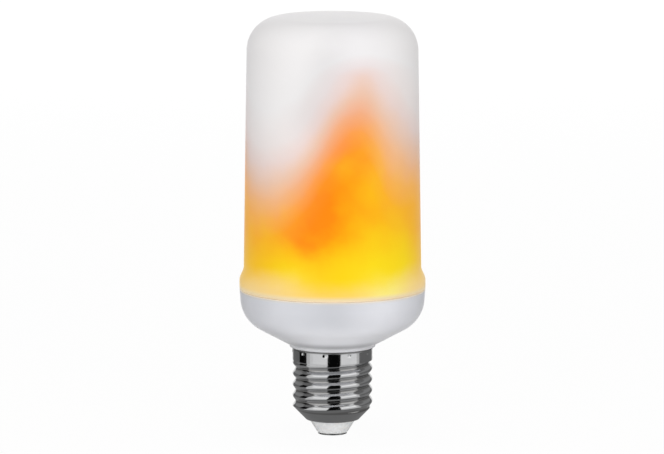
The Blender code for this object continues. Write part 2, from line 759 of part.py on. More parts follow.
def build_inductor(parts, ferrite):
    foot = BOWL_PART_FOOT
    head = foot + INDUCTOR_LENGTH
    slope = INDUCTOR_R - INDUCTOR_WAIST_R
    profile = [
        (0.0, head),
        (INDUCTOR_R, head),
        (INDUCTOR_R, head - INDUCTOR_FLANGE),
        (INDUCTOR_WAIST_R, head - INDUCTOR_FLANGE - slope / 2),
        (INDUCTOR_WAIST_R, foot + INDUCTOR_FLANGE + slope / 2),
        (INDUCTOR_R, foot + INDUCTOR_FLANGE),
        (INDUCTOR_R, foot),
        (0.0, foot),
    ]
    inductor = turned("power_inductor", profile, parts, ferrite, CAN_STEPS, closed=False)
    inductor.location = (INDUCTOR_SIDE, FRONT * (BOARD_FACE + GAP + INDUCTOR_R), 0.0)
    return inductor


def build_film_capacitor(parts, sleeve):
    place = (
        FILM_SIDE,
        FRONT * (BOARD_FACE + GAP + FILM_DEPTH / 2),
        BOWL_PART_FOOT + FILM_LENGTH / 2,
    )
    block = box("film_capacitor", (FILM_WIDTH, FILM_DEPTH, FILM_LENGTH), place, parts, sleeve)
    edge = block.modifiers.new("Edge", "BEVEL")
    edge.width = CAN_ROUND
    edge.segments = 1
    return block


def build_resistor(parts, sleeve):
    """An axial resistor with swollen ends and short leads."""
    foot = BOWL_PART_FOOT + RESISTOR_LEAD
    head = foot + RESISTOR_LENGTH
    profile = [
        (0.0, head + RESISTOR_LEAD),
        (RESISTOR_LEAD_R, head + RESISTOR_LEAD),
        (RESISTOR_LEAD_R, head),
        (RESISTOR_NECK_R, head),
        (RESISTOR_R, head - RESISTOR_CAP_ROUND),
        (RESISTOR_R, head - RESISTOR_CAP + RESISTOR_CAP_ROUND),
        (RESISTOR_NECK_R, head - RESISTOR_CAP),
        (RESISTOR_NECK_R, foot + RESISTOR_CAP),
        (RESISTOR_R, foot + RESISTOR_CAP - RESISTOR_CAP_ROUND),
        (RESISTOR_R, foot + RESISTOR_CAP_ROUND),
        (RESISTOR_NECK_R, foot),
        (RESISTOR_LEAD_R, foot),
        (RESISTOR_LEAD_R, foot - RESISTOR_LEAD),
        (0.0, foot - RESISTOR_LEAD),
    ]
    resistor = turned("fusible_resistor", profile, parts, sleeve, TINY_STEPS, closed=False)
    resistor.location = (0.0, BACK * (BOARD_FACE + GAP + RESISTOR_R), 0.0)
    return resistor


# Screws and wires


def build_screw(name, place, seat, length, head_r, parts, cutters, steel):
    """A cross-slotted pan-head screw. Its head's underside lies at seat."""
    head = seat + SCREW_HEAD_HEIGHT
    profile = [
        (0.0, head),
        (head_r - SCREW_HEAD_ROUND, head),
        (head_r, head - SCREW_HEAD_ROUND),
        (head_r, seat),
        (SCREW_SHANK_R, seat),
        (SCREW_SHANK_R, seat - length + SCREW_SHANK_R),
        (0.0, seat - length),
    ]
    screw = turned(name, profile, parts, steel, TINY_STEPS, closed=False)
    screw.location = (place[0], place[1], 0.0)
    for turn in (0.0, math.pi / 2):
        size = (head_r, SCREW_SLOT_WIDTH, 2 * SCREW_SLOT_DEPTH)
        slot = box(f"{name}_slot", size, (place[0], place[1], head), cutters, turn=turn)
        combine(screw, slot, "DIFFERENCE")
    return screw


def smooth_route(points, per_span):
    """Points read from a smooth curve through the route's own points."""
    ends = [points[0]] + list(points) + [points[-1]]
    route = []
    for i in range(1, len(ends) - 2):
        for step in range(per_span):
            t = step / per_span
            place = []
            for before, start, end, after in zip(ends[i - 1], ends[i], ends[i + 1], ends[i + 2]):
                pull = 2 * start + (end - before) * t
                pull += (2 * before - 5 * start + 4 * end - after) * t * t
                pull += (3 * start - before - 3 * end + after) * t * t * t
                place.append(pull / 2)
            route.append(tuple(place))
    route.append(tuple(points[-1]))
    return route


def build_wire(name, points, radius, parts, material):
    curve = bpy.data.curves.new(name, "CURVE")
    curve.dimensions = "3D"
    curve.bevel_depth = radius
    curve.bevel_resolution = 2
    curve.use_fill_caps = True
    route = smooth_route(points, WIRE_BENDS_PER_SPAN)
    spline = curve.splines.new("POLY")
    spline.points.add(len(route) - 1)
    for point, place in zip(spline.points, route):
        point.co = (*place, 1.0)
    curve.materials.append(material)
    wire = bpy.data.objects.new(name, curve)
    parts.objects.link(wire)
    return wire


def build_wires(parts, red_sleeve, black_sleeve, tinned):
    pad_y = BACK * (BOARD_FACE + GAP + LEAD_WIRE_R)
    pad_z = BOARD_FOOT + WIRE_PAD_LIFT
    rivet_head = INSULATOR_TOP + GAP + RIVET_HEAD_HEIGHT
    start = rivet_head + GAP
    live = [
        (0.0, 0.0, start),
        (-LEAD_WIRE_R, LEAD_WIRE_R, start + LEAD_WIRE_R),
        (2 * LEAD_WIRE_R - WIRE_PAD_SIDE, pad_y, (start + pad_z) / 2 - LEAD_WIRE_R),
        (-WIRE_PAD_SIDE, pad_y, pad_z),
        (-WIRE_PAD_SIDE, pad_y, pad_z + WIRE_PAD_LIFT),
    ]
    build_wire("live_wire", live, LEAD_WIRE_R, parts, red_sleeve)

    groove_r = NECK_R - BARE_WIRE_R
    under = NECK_FOOT - GAP - BARE_WIRE_R
    bare_y = BACK * (BOARD_FACE + GAP + BARE_WIRE_R)
    neutral = [
        (WIRE_PAD_SIDE, bare_y, pad_z + WIRE_PAD_LIFT),
        (WIRE_PAD_SIDE, bare_y, pad_z),
        (WIRE_PAD_SIDE + BARE_WIRE_R, pad_y, NECK_FOOT),
        ((WIRE_PAD_SIDE + groove_r) / 2, BARE_WIRE_R, under - BARE_WIRE_R),
        (groove_r - BARE_WIRE_R, 0.0, under - BARE_WIRE_R),
        (groove_r, 0.0, NECK_FOOT + BARE_WIRE_R),
        (groove_r, 0.0, NECK_FOOT + NEUTRAL_RISE / 2),
        (groove_r, 0.0, NECK_FOOT + NEUTRAL_RISE),
    ]
    build_wire("neutral_wire", neutral, BARE_WIRE_R, parts, tinned)

    foot = BOARD_HEAD + GAP
    head = TOP_BOARD_FOOT - GAP
    for name, side, sleeve in (
        ("led_wire_positive", 1, red_sleeve),
        ("led_wire_negative", -1, black_sleeve),
    ):
        x = side * WIRE_SPREAD
        rise = (head - foot) / 4
        route = [
            (x, 0.0, foot),
            (x, WIRE_BACK / 2, foot + WIRE_BEND),
            (x, WIRE_BACK, foot + rise),
            (x + side * LEAD_WIRE_R, WIRE_BACK + LEAD_WIRE_R, foot + 2 * rise),
            (x, WIRE_BACK, foot + 3 * rise),
            (x, WIRE_BACK, head),
        ]
        build_wire(name, route, LEAD_WIRE_R, parts, sleeve)


def main():
    clear_scene()
    parts = new_collection("flame_led_bulb")
    cutters = new_collection("cutters")

    plated = finish("plated_brass", (0.62, 0.62, 0.63), 0.12, 1.0)
    clear_plastic = finish("pale_insulator", (0.80, 0.81, 0.80), 0.35)
    white_plastic = finish("white_plastic", (0.78, 0.78, 0.81), 0.45)
    frosted = finish("frosted_globe", (0.92, 0.88, 0.82), 0.6)
    board_white = finish("board_white", (0.85, 0.84, 0.78), 0.4)
    laminate = finish("board_laminate", (0.10, 0.30, 0.14), 0.4)
    black_plastic = finish("black_moulding", (0.03, 0.03, 0.03), 0.5)
    black_sleeve = finish("black_sleeve", (0.02, 0.02, 0.02), 0.4)
    red_sleeve = finish("red_sleeve", (0.50, 0.03, 0.02), 0.4)
    film_sleeve = finish("film_case", (0.55, 0.12, 0.05), 0.4)
    resistor_sleeve = finish("resistor_coat", (0.25, 0.38, 0.45), 0.5)
    ferrite = finish("ferrite", (0.06, 0.05, 0.05), 0.6)
    tinned = finish("tinned_copper", (0.70, 0.68, 0.65), 0.3, 1.0)
    steel = finish("screw_steel", (0.60, 0.60, 0.60), 0.3, 1.0)

    build_screw_shell(parts, cutters, plated)
    build_insulator(parts, clear_plastic)
    build_contact(parts, plated)
    build_housing(parts, cutters, white_plastic)
    build_globe(parts, frosted)
    build_plate(parts, cutters, white_plastic)
    build_carrier(parts, cutters, white_plastic)
    build_flame_board(parts, cutters, board_white)
    build_top_board(parts, cutters, board_white)

    build_driver_board(parts, laminate)
    for name, radius, length, side, foot in (
        ("input_capacitor", INPUT_CAN_R, INPUT_CAN_LENGTH, 0.0, BOARD_FOOT + INPUT_CAN_LIFT),
        ("output_capacitor", OUTPUT_CAN_R, OUTPUT_CAN_LENGTH, OUTPUT_CAN_SIDE, BOWL_PART_FOOT),
    ):
        build_can(name, radius, length, side, foot, parts, black_sleeve)
    build_inductor(parts, ferrite)
    build_film_capacitor(parts, film_sleeve)
    build_resistor(parts, resistor_sleeve)

    for name, size, leads, side in (
        (
            "bridge_rectifier",
            (RECTIFIER_WIDTH, RECTIFIER_LENGTH, RECTIFIER_THICKNESS),
            RECTIFIER_LEAD_COUNT,
            RECTIFIER_SIDE,
        ),
        (
            "driver_chip",
            (DRIVER_CHIP_WIDTH, DRIVER_CHIP_LENGTH, DRIVER_CHIP_THICKNESS),
            DRIVER_CHIP_LEAD_COUNT,
            DRIVER_CHIP_SIDE,
        ),
    ):
        place = (side, BACK * (BOARD_FACE + GAP + size[2] / 2), BOWL_PART_FOOT + size[1] / 2)
        build_leaded_chip(name, size, leads, place, True, parts, cutters, black_plastic)
    size = (CONTROL_CHIP_WIDTH, CONTROL_CHIP_LENGTH, CONTROL_CHIP_THICKNESS)
    place = (0.0, CONTROL_CHIP_SIDE, TOP_BOARD_FOOT - GAP - CONTROL_CHIP_THICKNESS / 2)
    leads = CONTROL_CHIP_LEAD_COUNT
    build_leaded_chip("flame_control_chip", size, leads, place, False, parts, cutters, black_plastic)

    length = PLATE_SCREW_LENGTH
    for i, place in enumerate(on_circle(POST_CIRCLE_R, POST_COUNT, POST_TURN)):
        name = f"plate_screw_{i + 1}"
        build_screw(name, place, PLATE_TOP + GAP, length, SCREW_HEAD_R, parts, cutters, steel)
    length = FLANGE_SCREW_LENGTH
    seat = CARRIER_FLANGE_TOP + GAP
    for i, place in enumerate(flange_screw_places()):
        name = f"carrier_screw_{i + 1}"
        build_screw(name, place, seat, length, FLANGE_SCREW_HEAD_R, parts, cutters, steel)

    build_wires(parts, red_sleeve, black_sleeve, tinned)


main()
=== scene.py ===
"""The looks of the flame effect LED bulb: its fine outer forms, finishes, light and camera.

All sizes are in metres, in the frame's own axes: the bulb stands on its centre contact and its axis is Z.
The front faces -Y. An azimuth is in degrees from the front, positive towards +X.
"""

import math

import bmesh
import bpy
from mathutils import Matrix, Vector

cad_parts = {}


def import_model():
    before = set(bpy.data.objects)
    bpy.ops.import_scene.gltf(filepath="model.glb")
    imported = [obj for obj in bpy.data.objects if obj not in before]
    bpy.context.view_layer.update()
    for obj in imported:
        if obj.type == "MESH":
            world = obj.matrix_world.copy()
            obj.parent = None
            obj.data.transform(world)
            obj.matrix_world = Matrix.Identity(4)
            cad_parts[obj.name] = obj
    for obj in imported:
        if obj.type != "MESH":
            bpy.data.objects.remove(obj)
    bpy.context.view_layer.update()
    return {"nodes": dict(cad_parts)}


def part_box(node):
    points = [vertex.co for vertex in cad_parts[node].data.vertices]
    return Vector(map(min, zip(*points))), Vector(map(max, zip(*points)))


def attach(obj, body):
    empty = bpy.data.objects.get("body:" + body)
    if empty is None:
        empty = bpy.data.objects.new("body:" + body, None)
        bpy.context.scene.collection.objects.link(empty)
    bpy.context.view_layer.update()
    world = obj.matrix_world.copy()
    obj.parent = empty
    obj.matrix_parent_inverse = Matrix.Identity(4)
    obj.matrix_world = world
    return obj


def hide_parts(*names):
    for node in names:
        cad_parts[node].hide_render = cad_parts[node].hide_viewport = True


BODY = "root"
GAP = 0.0003

# Small round edges
FINE_EDGE = 0.0001
SOFT_EDGE = 0.0002
ROUND_EDGE = 0.0003

# Screw shell
CREST_R = 0.01315
THREAD_DEPTH = 0.00095
THREAD_PITCH = 0.003629
THREAD_TURNS = 4
THREAD_START = 0.00064
THREAD_ROUNDNESS = 0.8
COLLAR_R = 0.0132
COLLAR_HEIGHT = 0.0049
COLLAR_RAMP = 0.0009
SHELL_WALL = 0.00045
FOOT_HEIGHT = 0.0045
FOOT_ROUND = 0.00095
FOOT_HOLE_R = 0.00785
FOOT_SHARE = 0.06
DIMPLE_COUNT = 10
DIMPLE_R = 0.00075
DIMPLE_DEPTH = 0.00032
DIMPLE_DROP = 0.0011
DIMPLE_TURN = math.radians(-101)
EDGE_BLEND = 0.00012

# Contact and insulator
CONTACT_R = 0.0048
CONTACT_DOME = 0.0005
CONTACT_BELLY = 2.6
CONTACT_RIM = 0.0002
RIVET_R = 0.0016
RIVET_HEAD_R = 0.0026
RIVET_HEAD_HEIGHT = 0.0005
INSULATOR_FOOT_R = 0.0051
INSULATOR_CONE = 0.0044
INSULATOR_FLANGE_R = 0.0085
INSULATOR_FLANGE = 0.0022

# Base housing
LIP_R = 0.0141
LIP_HEIGHT = 0.0011
BOWL_NECK_R = 0.0148
BOWL_SLOPE = math.radians(28.5)
BOWL_R = 0.0302
BOWL_HEIGHT = 0.0191
BOWL_RIM = 0.0030
BOWL_WALL = 0.0018
BOWL_BLEND = 0.0006
ENTRY_ROUND = 0.0005
NECK_R = 0.01145
NECK_BORE_R = 0.0097
NECK_LIFT = 0.0011
POST_R = 0.0026
POST_BORE_R = 0.0014
POST_CIRCLE_R = 0.0232
POST_COUNT = 3
POST_TURN = math.radians(30)
POST_BORE = 0.008
PLATE_DROP = 0.0027
RAIL_REACH = 0.0031
RAIL_THICKNESS = 0.001
RAIL_LENGTH = 0.012
BOARD_FACE = 0.0008
GROOVE_WIDTH = 0.0014
GROOVE_DEPTH = 0.0011
GROOVE_RISE = 0.0103

# Diffuser globe
SKIRT_R = 0.0305
SKIRT_HEIGHT = 0.0026
SHOULDER_HEIGHT = 0.0044
GLOBE_FOOT_R = 0.0291
GLOBE_TOP_R = 0.0280
GLOBE_CORNER = 0.011
GLOBE_CROWN = 0.00035
GLOBE_HEIGHT = 0.0896
GLOBE_WALL = 0.0013
SPIGOT_R = 0.0284
SPIGOT_DEPTH = 0.0025

# Lit boards
FLEX_R = 0.0161
FLEX_THICKNESS = 0.0003
FLEX_SEAM = 0.003
FLEX_CHIP_COLUMNS = 12
FLEX_CHIP_ROWS = 8
FLEX_CHIP_MARGIN = 0.005
CHIP_WIDTH = 0.0028
CHIP_HEIGHT = 0.0035
CHIP_THICKNESS = 0.0008
CHIP_SINK = 0.0002
CHIP_EDGE = 0.00012
CHIP_WINDOW = 0.0022
WINDOW_THICKNESS = 0.0001
TOP_BOARD_R = 0.0148
TOP_BOARD_THICKNESS = 0.0012
TOP_CHIP_CIRCLE_R = 0.0106
TOP_CHIP_COUNT = 6

# Heights that follow, from the contact's foot up
CONTACT_TOP = CONTACT_DOME + CONTACT_RIM
INSULATOR_FOOT = CONTACT_TOP + GAP
SHELL_FOOT = INSULATOR_FOOT + INSULATOR_CONE
THREAD_BOTTOM = SHELL_FOOT + FOOT_HEIGHT
THREAD_TOP = THREAD_BOTTOM + THREAD_TURNS * THREAD_PITCH
SHELL_RIM = THREAD_TOP + COLLAR_HEIGHT
LIP_FOOT = SHELL_RIM + GAP
LIP_TOP = LIP_FOOT + LIP_HEIGHT
HOUSING_TOP = LIP_FOOT + BOWL_HEIGHT
NECK_FOOT = THREAD_BOTTOM + NECK_LIFT
SKIRT_FOOT = HOUSING_TOP + GAP
SPIGOT_FOOT = SKIRT_FOOT - SPIGOT_DEPTH
SKIRT_TOP = SKIRT_FOOT + SKIRT_HEIGHT + SHOULDER_HEIGHT
GLOBE_TOP = SKIRT_FOOT + GLOBE_HEIGHT
ROOT_R = CREST_R - THREAD_DEPTH
BOWL_BORE_R = SKIRT_R - BOWL_WALL

# How fine the meshes are
SEGMENTS = 192
SMALL_SEGMENTS = 96
SHELL_SEGMENTS = 240
SHELL_ROWS = 150
CORNER_STEPS = 24
FILLET_STEPS = 5
SHARP_ANGLE = math.radians(35)
WELD = 0.00001

# Camera, for a picture of 664 by 454
PICTURE_WIDTH = 664
PIXELS_PER_METRE = 3054
LENS = 300.0
SENSOR = 36.0
CAMERA_RISE = math.radians(8.5)
CAMERA_AIM = (-0.00016, 0.0, 0.0690)

# The flame. A row is a bump round the bulb: its azimuth, its width in degrees and its strength
FLAME_EDGE = 0.079
FLAME_TONGUES = (
    (13, 30, 0.0275),
    (72, 45, 0.010),
    (24, 10, 0.003),
    (140, 27, 0.020),
    (178, 40, 0.009),
    (252, 28, 0.025),
    (216, 30, 0.008),
)
SOFTER_SIDES = ((42, 20, 0.45), (160, 30, 0.45))
FLAME_REACH = 0.068
FLAME_DEPTHS = (-0.030, -0.018, -0.012, -0.006, 0.0, 0.006, 0.012, 0.020, 0.034)
CROWN_FADE = (0.1215, 0.1345)
CROWN_CUT = 0.02
DRIFT = 0.004
PATCH_DRIFT = 0.003

# Deep orange in the middle of each tongue: it leans by so many radians a metre, from its upright height
EMBERS = ((-11, 26, 1), (118, 24, 1), (236, 28, 1))
EMBER_UPRIGHT = 0.070
EMBER_LEAN = 7.9
EMBER_FADE = (0.052, 0.072)

# Amber spots over single lights: azimuth, width, height, reach in height and strength
BRIGHT_SPOTS = (
    (6, 10, 0.092, 0.005, 0.5),
    (8, 11, 0.066, 0.006, 0.2),
    (26, 9, 0.086, 0.005, 0.25),
    (128, 10, 0.084, 0.005, 0.4),
    (244, 10, 0.088, 0.005, 0.4),
)

# The yellow core
YELLOW_SIDES = ((42, 26, 1), (170, 30, 1))
CORE_TOP = 0.0697
CORE_FOOT = 0.0555
CORE_CLIMB = 0.012
CORE_HUMPS = ((-46, 17, 0.004), (-9, 19, -0.003))
CORE_EDGE = 0.012
LEMON_PATCHES = ((-28, 18, 0.6), (8, 20, 0.35))
LEMON_LEAST = 0.15

# The skirt's paler light, and the seam below it, painted pale and made to glow more: painted light over its
# shade
SKIRT_MIDDLES = ((5, 34, 1), (130, 34, 1), (245, 34, 1))
SKIRT_GLINT = ((36, 16, 1),)
SKIRT_SIDE_FADE = (0.060, 0.050)
SKIRT_MIDDLE_FADE = (0.0565, 0.048)
SEAM_FADE = 0.0020
SEAM_LINE = 0.0001
PAINTED_SEAM_GLOW = 1.6

# A greyish smoke over the dark side of each tongue
SMOKE = ((-1, 15, 1), (125, 15, 1), (240, 15, 1))
SMOKE_UPRIGHT = 0.1305
SMOKE_LEAN = 11.3
SMOKE_FOOT_FADE = (0.098, 0.112)
SMOKE_HEAD_FADE = (0.140, 0.126)
SMOKE_DEPTH = 0.12

# How much of the flame's light the wall gives out itself, and how softly that begins. The rest of the flame
# is painted light in the base colour.
GLOW_SHARE = 0.3
GLOW_EDGE = 0.012

# The housing's painted light and shade, and the heights between which they fade: a lighter right side and
# slope, darker front and flanks, a painted shadow above the lip, and the globe's light painted and glowing
# on the rim
LIGHT_CLOUDS = 0.6
PAINTED_LIGHT_SIDE = ((38, 24, 0.5),)
PAINTED_SHADE_SIDES = ((-4, 22, 0.8), (124, 22, 0.8), (236, 22, 0.8))
PAINTED_SHADE_FADE = (LIP_TOP + 0.0060, HOUSING_TOP - 0.0040)
PAINTED_SHADE_FLANKS = ((-50, 23, 1), (50, 22, 0.7), (180, 24, 0.8))
PAINTED_SLOPE_FADE = (LIP_TOP + 0.0105, LIP_TOP + 0.0040)
PAINTED_LIP_SHADOW_FADE = (LIP_TOP + 0.0032, LIP_TOP + 0.0004)
LIP_FADE = (LIP_TOP + 0.0007, LIP_TOP + 0.0002)
PAINTED_RIM_LIGHT_FADE = (HOUSING_TOP - 0.0012, HOUSING_TOP)
PAINTED_GLOW_FADE = (HOUSING_TOP - 0.0004, HOUSING_TOP)
PAINTED_RIM_LIGHT_SHARE = 0.6
PAINTED_GLOW_STRENGTH = 0.17

# The thread's roots, duller and with painted shade, the painted shadow under the housing's lip, and the
# insulator's greyer foot
ROOT_BAND = (ROOT_R, ROOT_R + 0.0005)
INNER_BAND = (ROOT_R - 0.0006, ROOT_R)
THREAD_FADE = (THREAD_TOP + COLLAR_RAMP - 0.0002, THREAD_TOP)
PAINTED_UNDER_LIP_SHADOW_FADE = (SHELL_RIM - 0.0006, SHELL_RIM - 0.0003)
CONE_FADE = (INSULATOR_FOOT + 0.0012, INSULATOR_FOOT)

# Lamps: place, size and power
LAMPS = {
    "left_softbox": ((-0.50, -1.07, 0.28), 0.6, 3.15),
    "right_softbox": ((0.50, -1.07, 0.28), 0.6, 3.15),
    "top_softbox": ((0.0, -0.2, 1.3), 0.9, 3.5),
    "back_softbox": ((0.0, 1.40, 0.326), 0.6, 5.3),
}
WORLD_LEVEL = 0.50
FLOOR_REACH = 8.0
FLOOR_WHITE = 0.95
CARD_STEP = 5

# The small studio that the cap mirrors. A profile's points are (distance from the axis, height)
TABLE = 0.0002
CLOTH = 0.0004
OVER_CLOTH = 0.0008
UNDER_BULB = ((0.006, TABLE), (0.024, TABLE))
ROUND_BULB = ((0.024, TABLE), (0.05, TABLE))
SCREEN = ((0.07, CLOTH), (0.12, CLOTH), (0.12, 0.036))
BOARD_FOOT = ((0.12, CLOTH), (0.12, 0.036))
BOARD = ((0.13, 0.036), (0.13, 0.10))
WALL_FOOT = ((0.05, CLOTH), (0.14, CLOTH), (0.14, 0.04))
WALL = ((0.14, 0.04), (0.14, 0.10))
WALL_HEAD = ((0.14, 0.10), (0.14, 0.34))
LEFT_WALL = (-150, -76)
RIGHT_WALL = (79, 150)

# Its cards: name, level, azimuths and profile
CARDS = (
    ("dark_table", 0.24, (0, 360), UNDER_BULB),
    ("grey_table", 0.30, (79, 284), ROUND_BULB),
    ("left_table", 0.85, (-76, -13.2), ROUND_BULB),
    ("right_table", 0.85, (21.9, 79), ROUND_BULB),
    ("front_flag", 0.004, (-13.2, 21.9), ((0.024, CLOTH), (0.11, CLOTH), (0.11, 0.35))),
    ("side_flag", 0.004, (-104, -76), ((0.07, OVER_CLOTH), (0.11, OVER_CLOTH), (0.11, 0.08))),
    ("left_wall_foot", 0.20, LEFT_WALL, WALL_FOOT),
    ("left_wall", 0.34, LEFT_WALL, WALL),
    ("left_wall_head", 0.22, LEFT_WALL, WALL_HEAD),
    ("right_wall_foot", 0.20, RIGHT_WALL, WALL_FOOT),
    ("right_wall", 0.34, RIGHT_WALL, WALL),
    ("right_wall_head", 0.22, RIGHT_WALL, WALL_HEAD),
    ("screen_1", 0.80, (-76, -65), SCREEN),
    ("screen_2", 1.06, (-65, -55), SCREEN),
    ("screen_3", 0.82, (70, 79), SCREEN),
    ("left_board", 1.6, (-60, -14), BOARD),
    ("right_board", 1.6, (23, 70), BOARD),
    ("left_board_foot", 1.2, (-55, -14), BOARD_FOOT),
    ("right_board_foot", 1.2, (23, 70), BOARD_FOOT),
    ("dim_ceiling", 0.30, (0, 360), ((0.001, 0.36), (0.26, 0.36))),
)


def ink(red, green, blue):
    """A linear colour from display values of 0 to 255."""
    linear = []
    for value in (red, green, blue):
        share = value / 255
        linear.append(share / 12.92 if share <= 0.04045 else ((share + 0.055) / 1.055) ** 2.4)
    return (*linear, 1.0)


def flame_stops(*colours):
    """Ramp stops of these display colours, one at each of the flame's depths."""
    return tuple((depth / FLAME_REACH + 0.5, ink(*colour)) for depth, colour in zip(FLAME_DEPTHS, colours))


EMBER_FLAME = flame_stops(
    (240, 238, 239), (236, 226, 226), (236, 215, 210), (236, 195, 172), (242, 170, 128),
    (250, 152, 76), (253, 140, 32), (254, 137, 10), (254, 143, 4),
)
AMBER_FLAME = flame_stops(
    (241, 239, 239), (239, 231, 229), (238, 218, 212), (240, 203, 180), (247, 189, 136),
    (252, 183, 84), (253, 181, 36), (253, 185, 14), (252, 194, 10),
)

# Node trees written as expressions


def operator(operation, swapped=False):
    """A method of Value that adds a maths node."""

    def apply(value, other):
        terms = (other, value) if swapped else (value, other)
        return value.tree.math(operation, *terms)

    return apply


class Value:
    """A number socket that Python expressions can be written on."""

    def __init__(self, tree, socket):
        self.tree = tree
        self.socket = socket

    __add__ = __radd__ = operator("ADD")
    __mul__ = __rmul__ = operator("MULTIPLY")
    __sub__ = operator("SUBTRACT")
    __rsub__ = operator("SUBTRACT", swapped=True)
    __truediv__ = operator("DIVIDE")
    __rtruediv__ = operator("DIVIDE", swapped=True)
    __pow__ = operator("POWER")


class Tree:
    """A shader or geometry tree, with short forms for the nodes that are used most."""

    def __init__(self, tree):
        self.tree = tree

    def node(self, kind, sockets=(), **settings):
        """A node of this kind. Its settings are made first, then its sockets take their values or links."""
        made = self.tree.nodes.new(kind)
        for name, value in settings.items():
            if name == "stops":
                self.fill_ramp(made.color_ramp, value)
            else:
                setattr(made, name, value)
        for name, value in dict(sockets).items():
            self.feed(made.inputs[name], value)
        return made

    def out(self, kind, sockets=(), **settings):
        """The first output of such a node."""
        return self.node(kind, sockets, **settings).outputs[0]

    def feed(self, socket, value):
        if isinstance(value, Value):
            value = value.socket
        if isinstance(value, bpy.types.NodeSocket):
            self.tree.links.new(value, socket)
        else:
            socket.default_value = value

    def fill_ramp(self, ramp, stops):
        while len(ramp.elements) > 1:
            ramp.elements.remove(ramp.elements[-1])
        for i, (place, colour) in enumerate(stops):
            stop = ramp.elements[0] if i == 0 else ramp.elements.new(place)
            stop.position = place
            stop.color = colour

    def value(self, socket):
        return Value(self, socket)

    def math(self, operation, *terms):
        return self.value(self.out("ShaderNodeMath", enumerate(terms), operation=operation))

    def vector(self, operation, *terms):
        return self.out("ShaderNodeVectorMath", enumerate(terms), operation=operation)

    def split(self, vector):
        made = self.node("ShaderNodeSeparateXYZ", {0: vector})
        return [self.value(socket) for socket in made.outputs]

    def join(self, x, y, z):
        return self.out("ShaderNodeCombineXYZ", {0: x, 1: y, 2: z})

    def smooth(self, value, low, high):
        """0 at low and below, 1 at high and above, smooth between them."""
        sockets = {"Value": value, "From Min": low, "From Max": high}
        return self.value(self.out("ShaderNodeMapRange", sockets, interpolation_type="SMOOTHSTEP"))

    def mix(self, share, first, second):
        return self.node("ShaderNodeMix", {0: share, 6: first, 7: second}, data_type="RGBA").outputs[2]

    def ramp(self, value, stops):
        return self.out("ShaderNodeValToRGB", {0: value}, stops=stops)

    def scaled(self, colour, factor):
        return self.out("ShaderNodeVectorMath", {"Vector": colour, "Scale": factor}, operation="SCALE")


class Finish(Tree):
    """A material's tree, with its Principled shader and its object coordinates at hand."""

    def __init__(self, name):
        self.material = bpy.data.materials.new(name)
        self.material.use_nodes = True
        super().__init__(self.material.node_tree)
        self.shader = self.tree.nodes["Principled BSDF"]
        self.place = self.node("ShaderNodeTexCoord").outputs["Object"]
        self.x, self.y, self.z = self.split(self.place)

    def set(self, **sockets):
        """Feeds the shader's sockets. A name's underscores stand for spaces."""
        for name, value in sockets.items():
            self.feed(self.shader.inputs[name.replace("_", " ")], value)
        return self.material

    def radius(self):
        return self.math("SQRT", self.x * self.x + self.y * self.y)

    def rise(self, low, high):
        """0 at the first height and 1 at the second, which may lie below the first."""
        return self.smooth(self.z, low, high)

    def noise(self, scale, detail=2.0, roughness=0.5, place=None):
        sockets = {"Vector": place or self.place, "Scale": scale, "Detail": detail, "Roughness": roughness}
        return self.value(self.out("ShaderNodeTexNoise", sockets))

    def stretched(self, across, along):
        """Object coordinates with their own scale across and along the bulb's axis."""
        return self.vector("MULTIPLY", self.place, (across, across, along))

    def bump(self, height, distance, strength=1.0):
        return self.out("ShaderNodeBump", {"Height": height, "Distance": distance, "Strength": strength})


# Meshes


def arc(center_r, center_z, radius, start_deg, end_deg, steps):
    points = []
    for i in range(steps + 1):
        turn = math.radians(start_deg + (end_deg - start_deg) * i / steps)
        points.append((center_r + radius * math.cos(turn), center_z + radius * math.sin(turn)))
    return points


def filleted(corners, closed=False):
    """Profile points from (radius, height) corners. A third number rounds its corner by that fillet."""
    points = []
    last = len(corners) - 1
    for i, (r, z, *fillet) in enumerate(corners):
        if not fillet or (not closed and i in (0, last)):
            points.append((r, z))
            continue
        here = Vector((r, z))
        to_before = Vector(corners[i - 1][:2]) - here
        to_after = Vector(corners[(i + 1) % len(corners)][:2]) - here
        half = to_before.angle(to_after) / 2
        start = here + to_before.normalized() * fillet[0] / math.tan(half)
        end = here + to_after.normalized() * fillet[0] / math.tan(half)
        for step in range(FILLET_STEPS + 1):
            share = step / FILLET_STEPS
            point = start.lerp(here, share).lerp(here.lerp(end, share), share)
            points.append((point.x, point.y))
    return points


def lathe(name, profile, segments, closed=False):
    """A surface of revolution. Its profile runs down the outer side, and a radius of 0 makes a pole."""
    vertices = []
    rings = []
    for r, z in profile:
        if r < WELD:
            rings.append([len(vertices)] * segments)
            vertices.append((0.0, 0.0, z))
            continue
        rings.append(range(len(vertices), len(vertices) + segments))
        for i in range(segments):
            turn = math.tau * i / segments
            vertices.append((r * math.cos(turn), r * math.sin(turn), z))
    faces = []
    pairs = list(zip(rings, rings[1:]))
    if closed:
        pairs.append((rings[-1], rings[0]))
    for upper, lower in pairs:
        for i in range(segments):
            j = (i + 1) % segments
            corners = []
            for corner in (upper[i], lower[i], lower[j], upper[j]):
                if corner not in corners:
                    corners.append(corner)
            if len(corners) > 2:
                faces.append(corners)
    mesh = bpy.data.meshes.new(name)
    mesh.from_pydata(vertices, [], faces)
    return mesh


def add_piece(name, data):
    """Puts an object with this name and data into the scene."""
    piece = bpy.data.objects.new(name, data)
    bpy.context.scene.collection.objects.link(piece)
    return piece


def turned_piece(name, profile, segments=SEGMENTS, closed=False):
    return add_piece(name, lathe(name, profile, segments, closed))


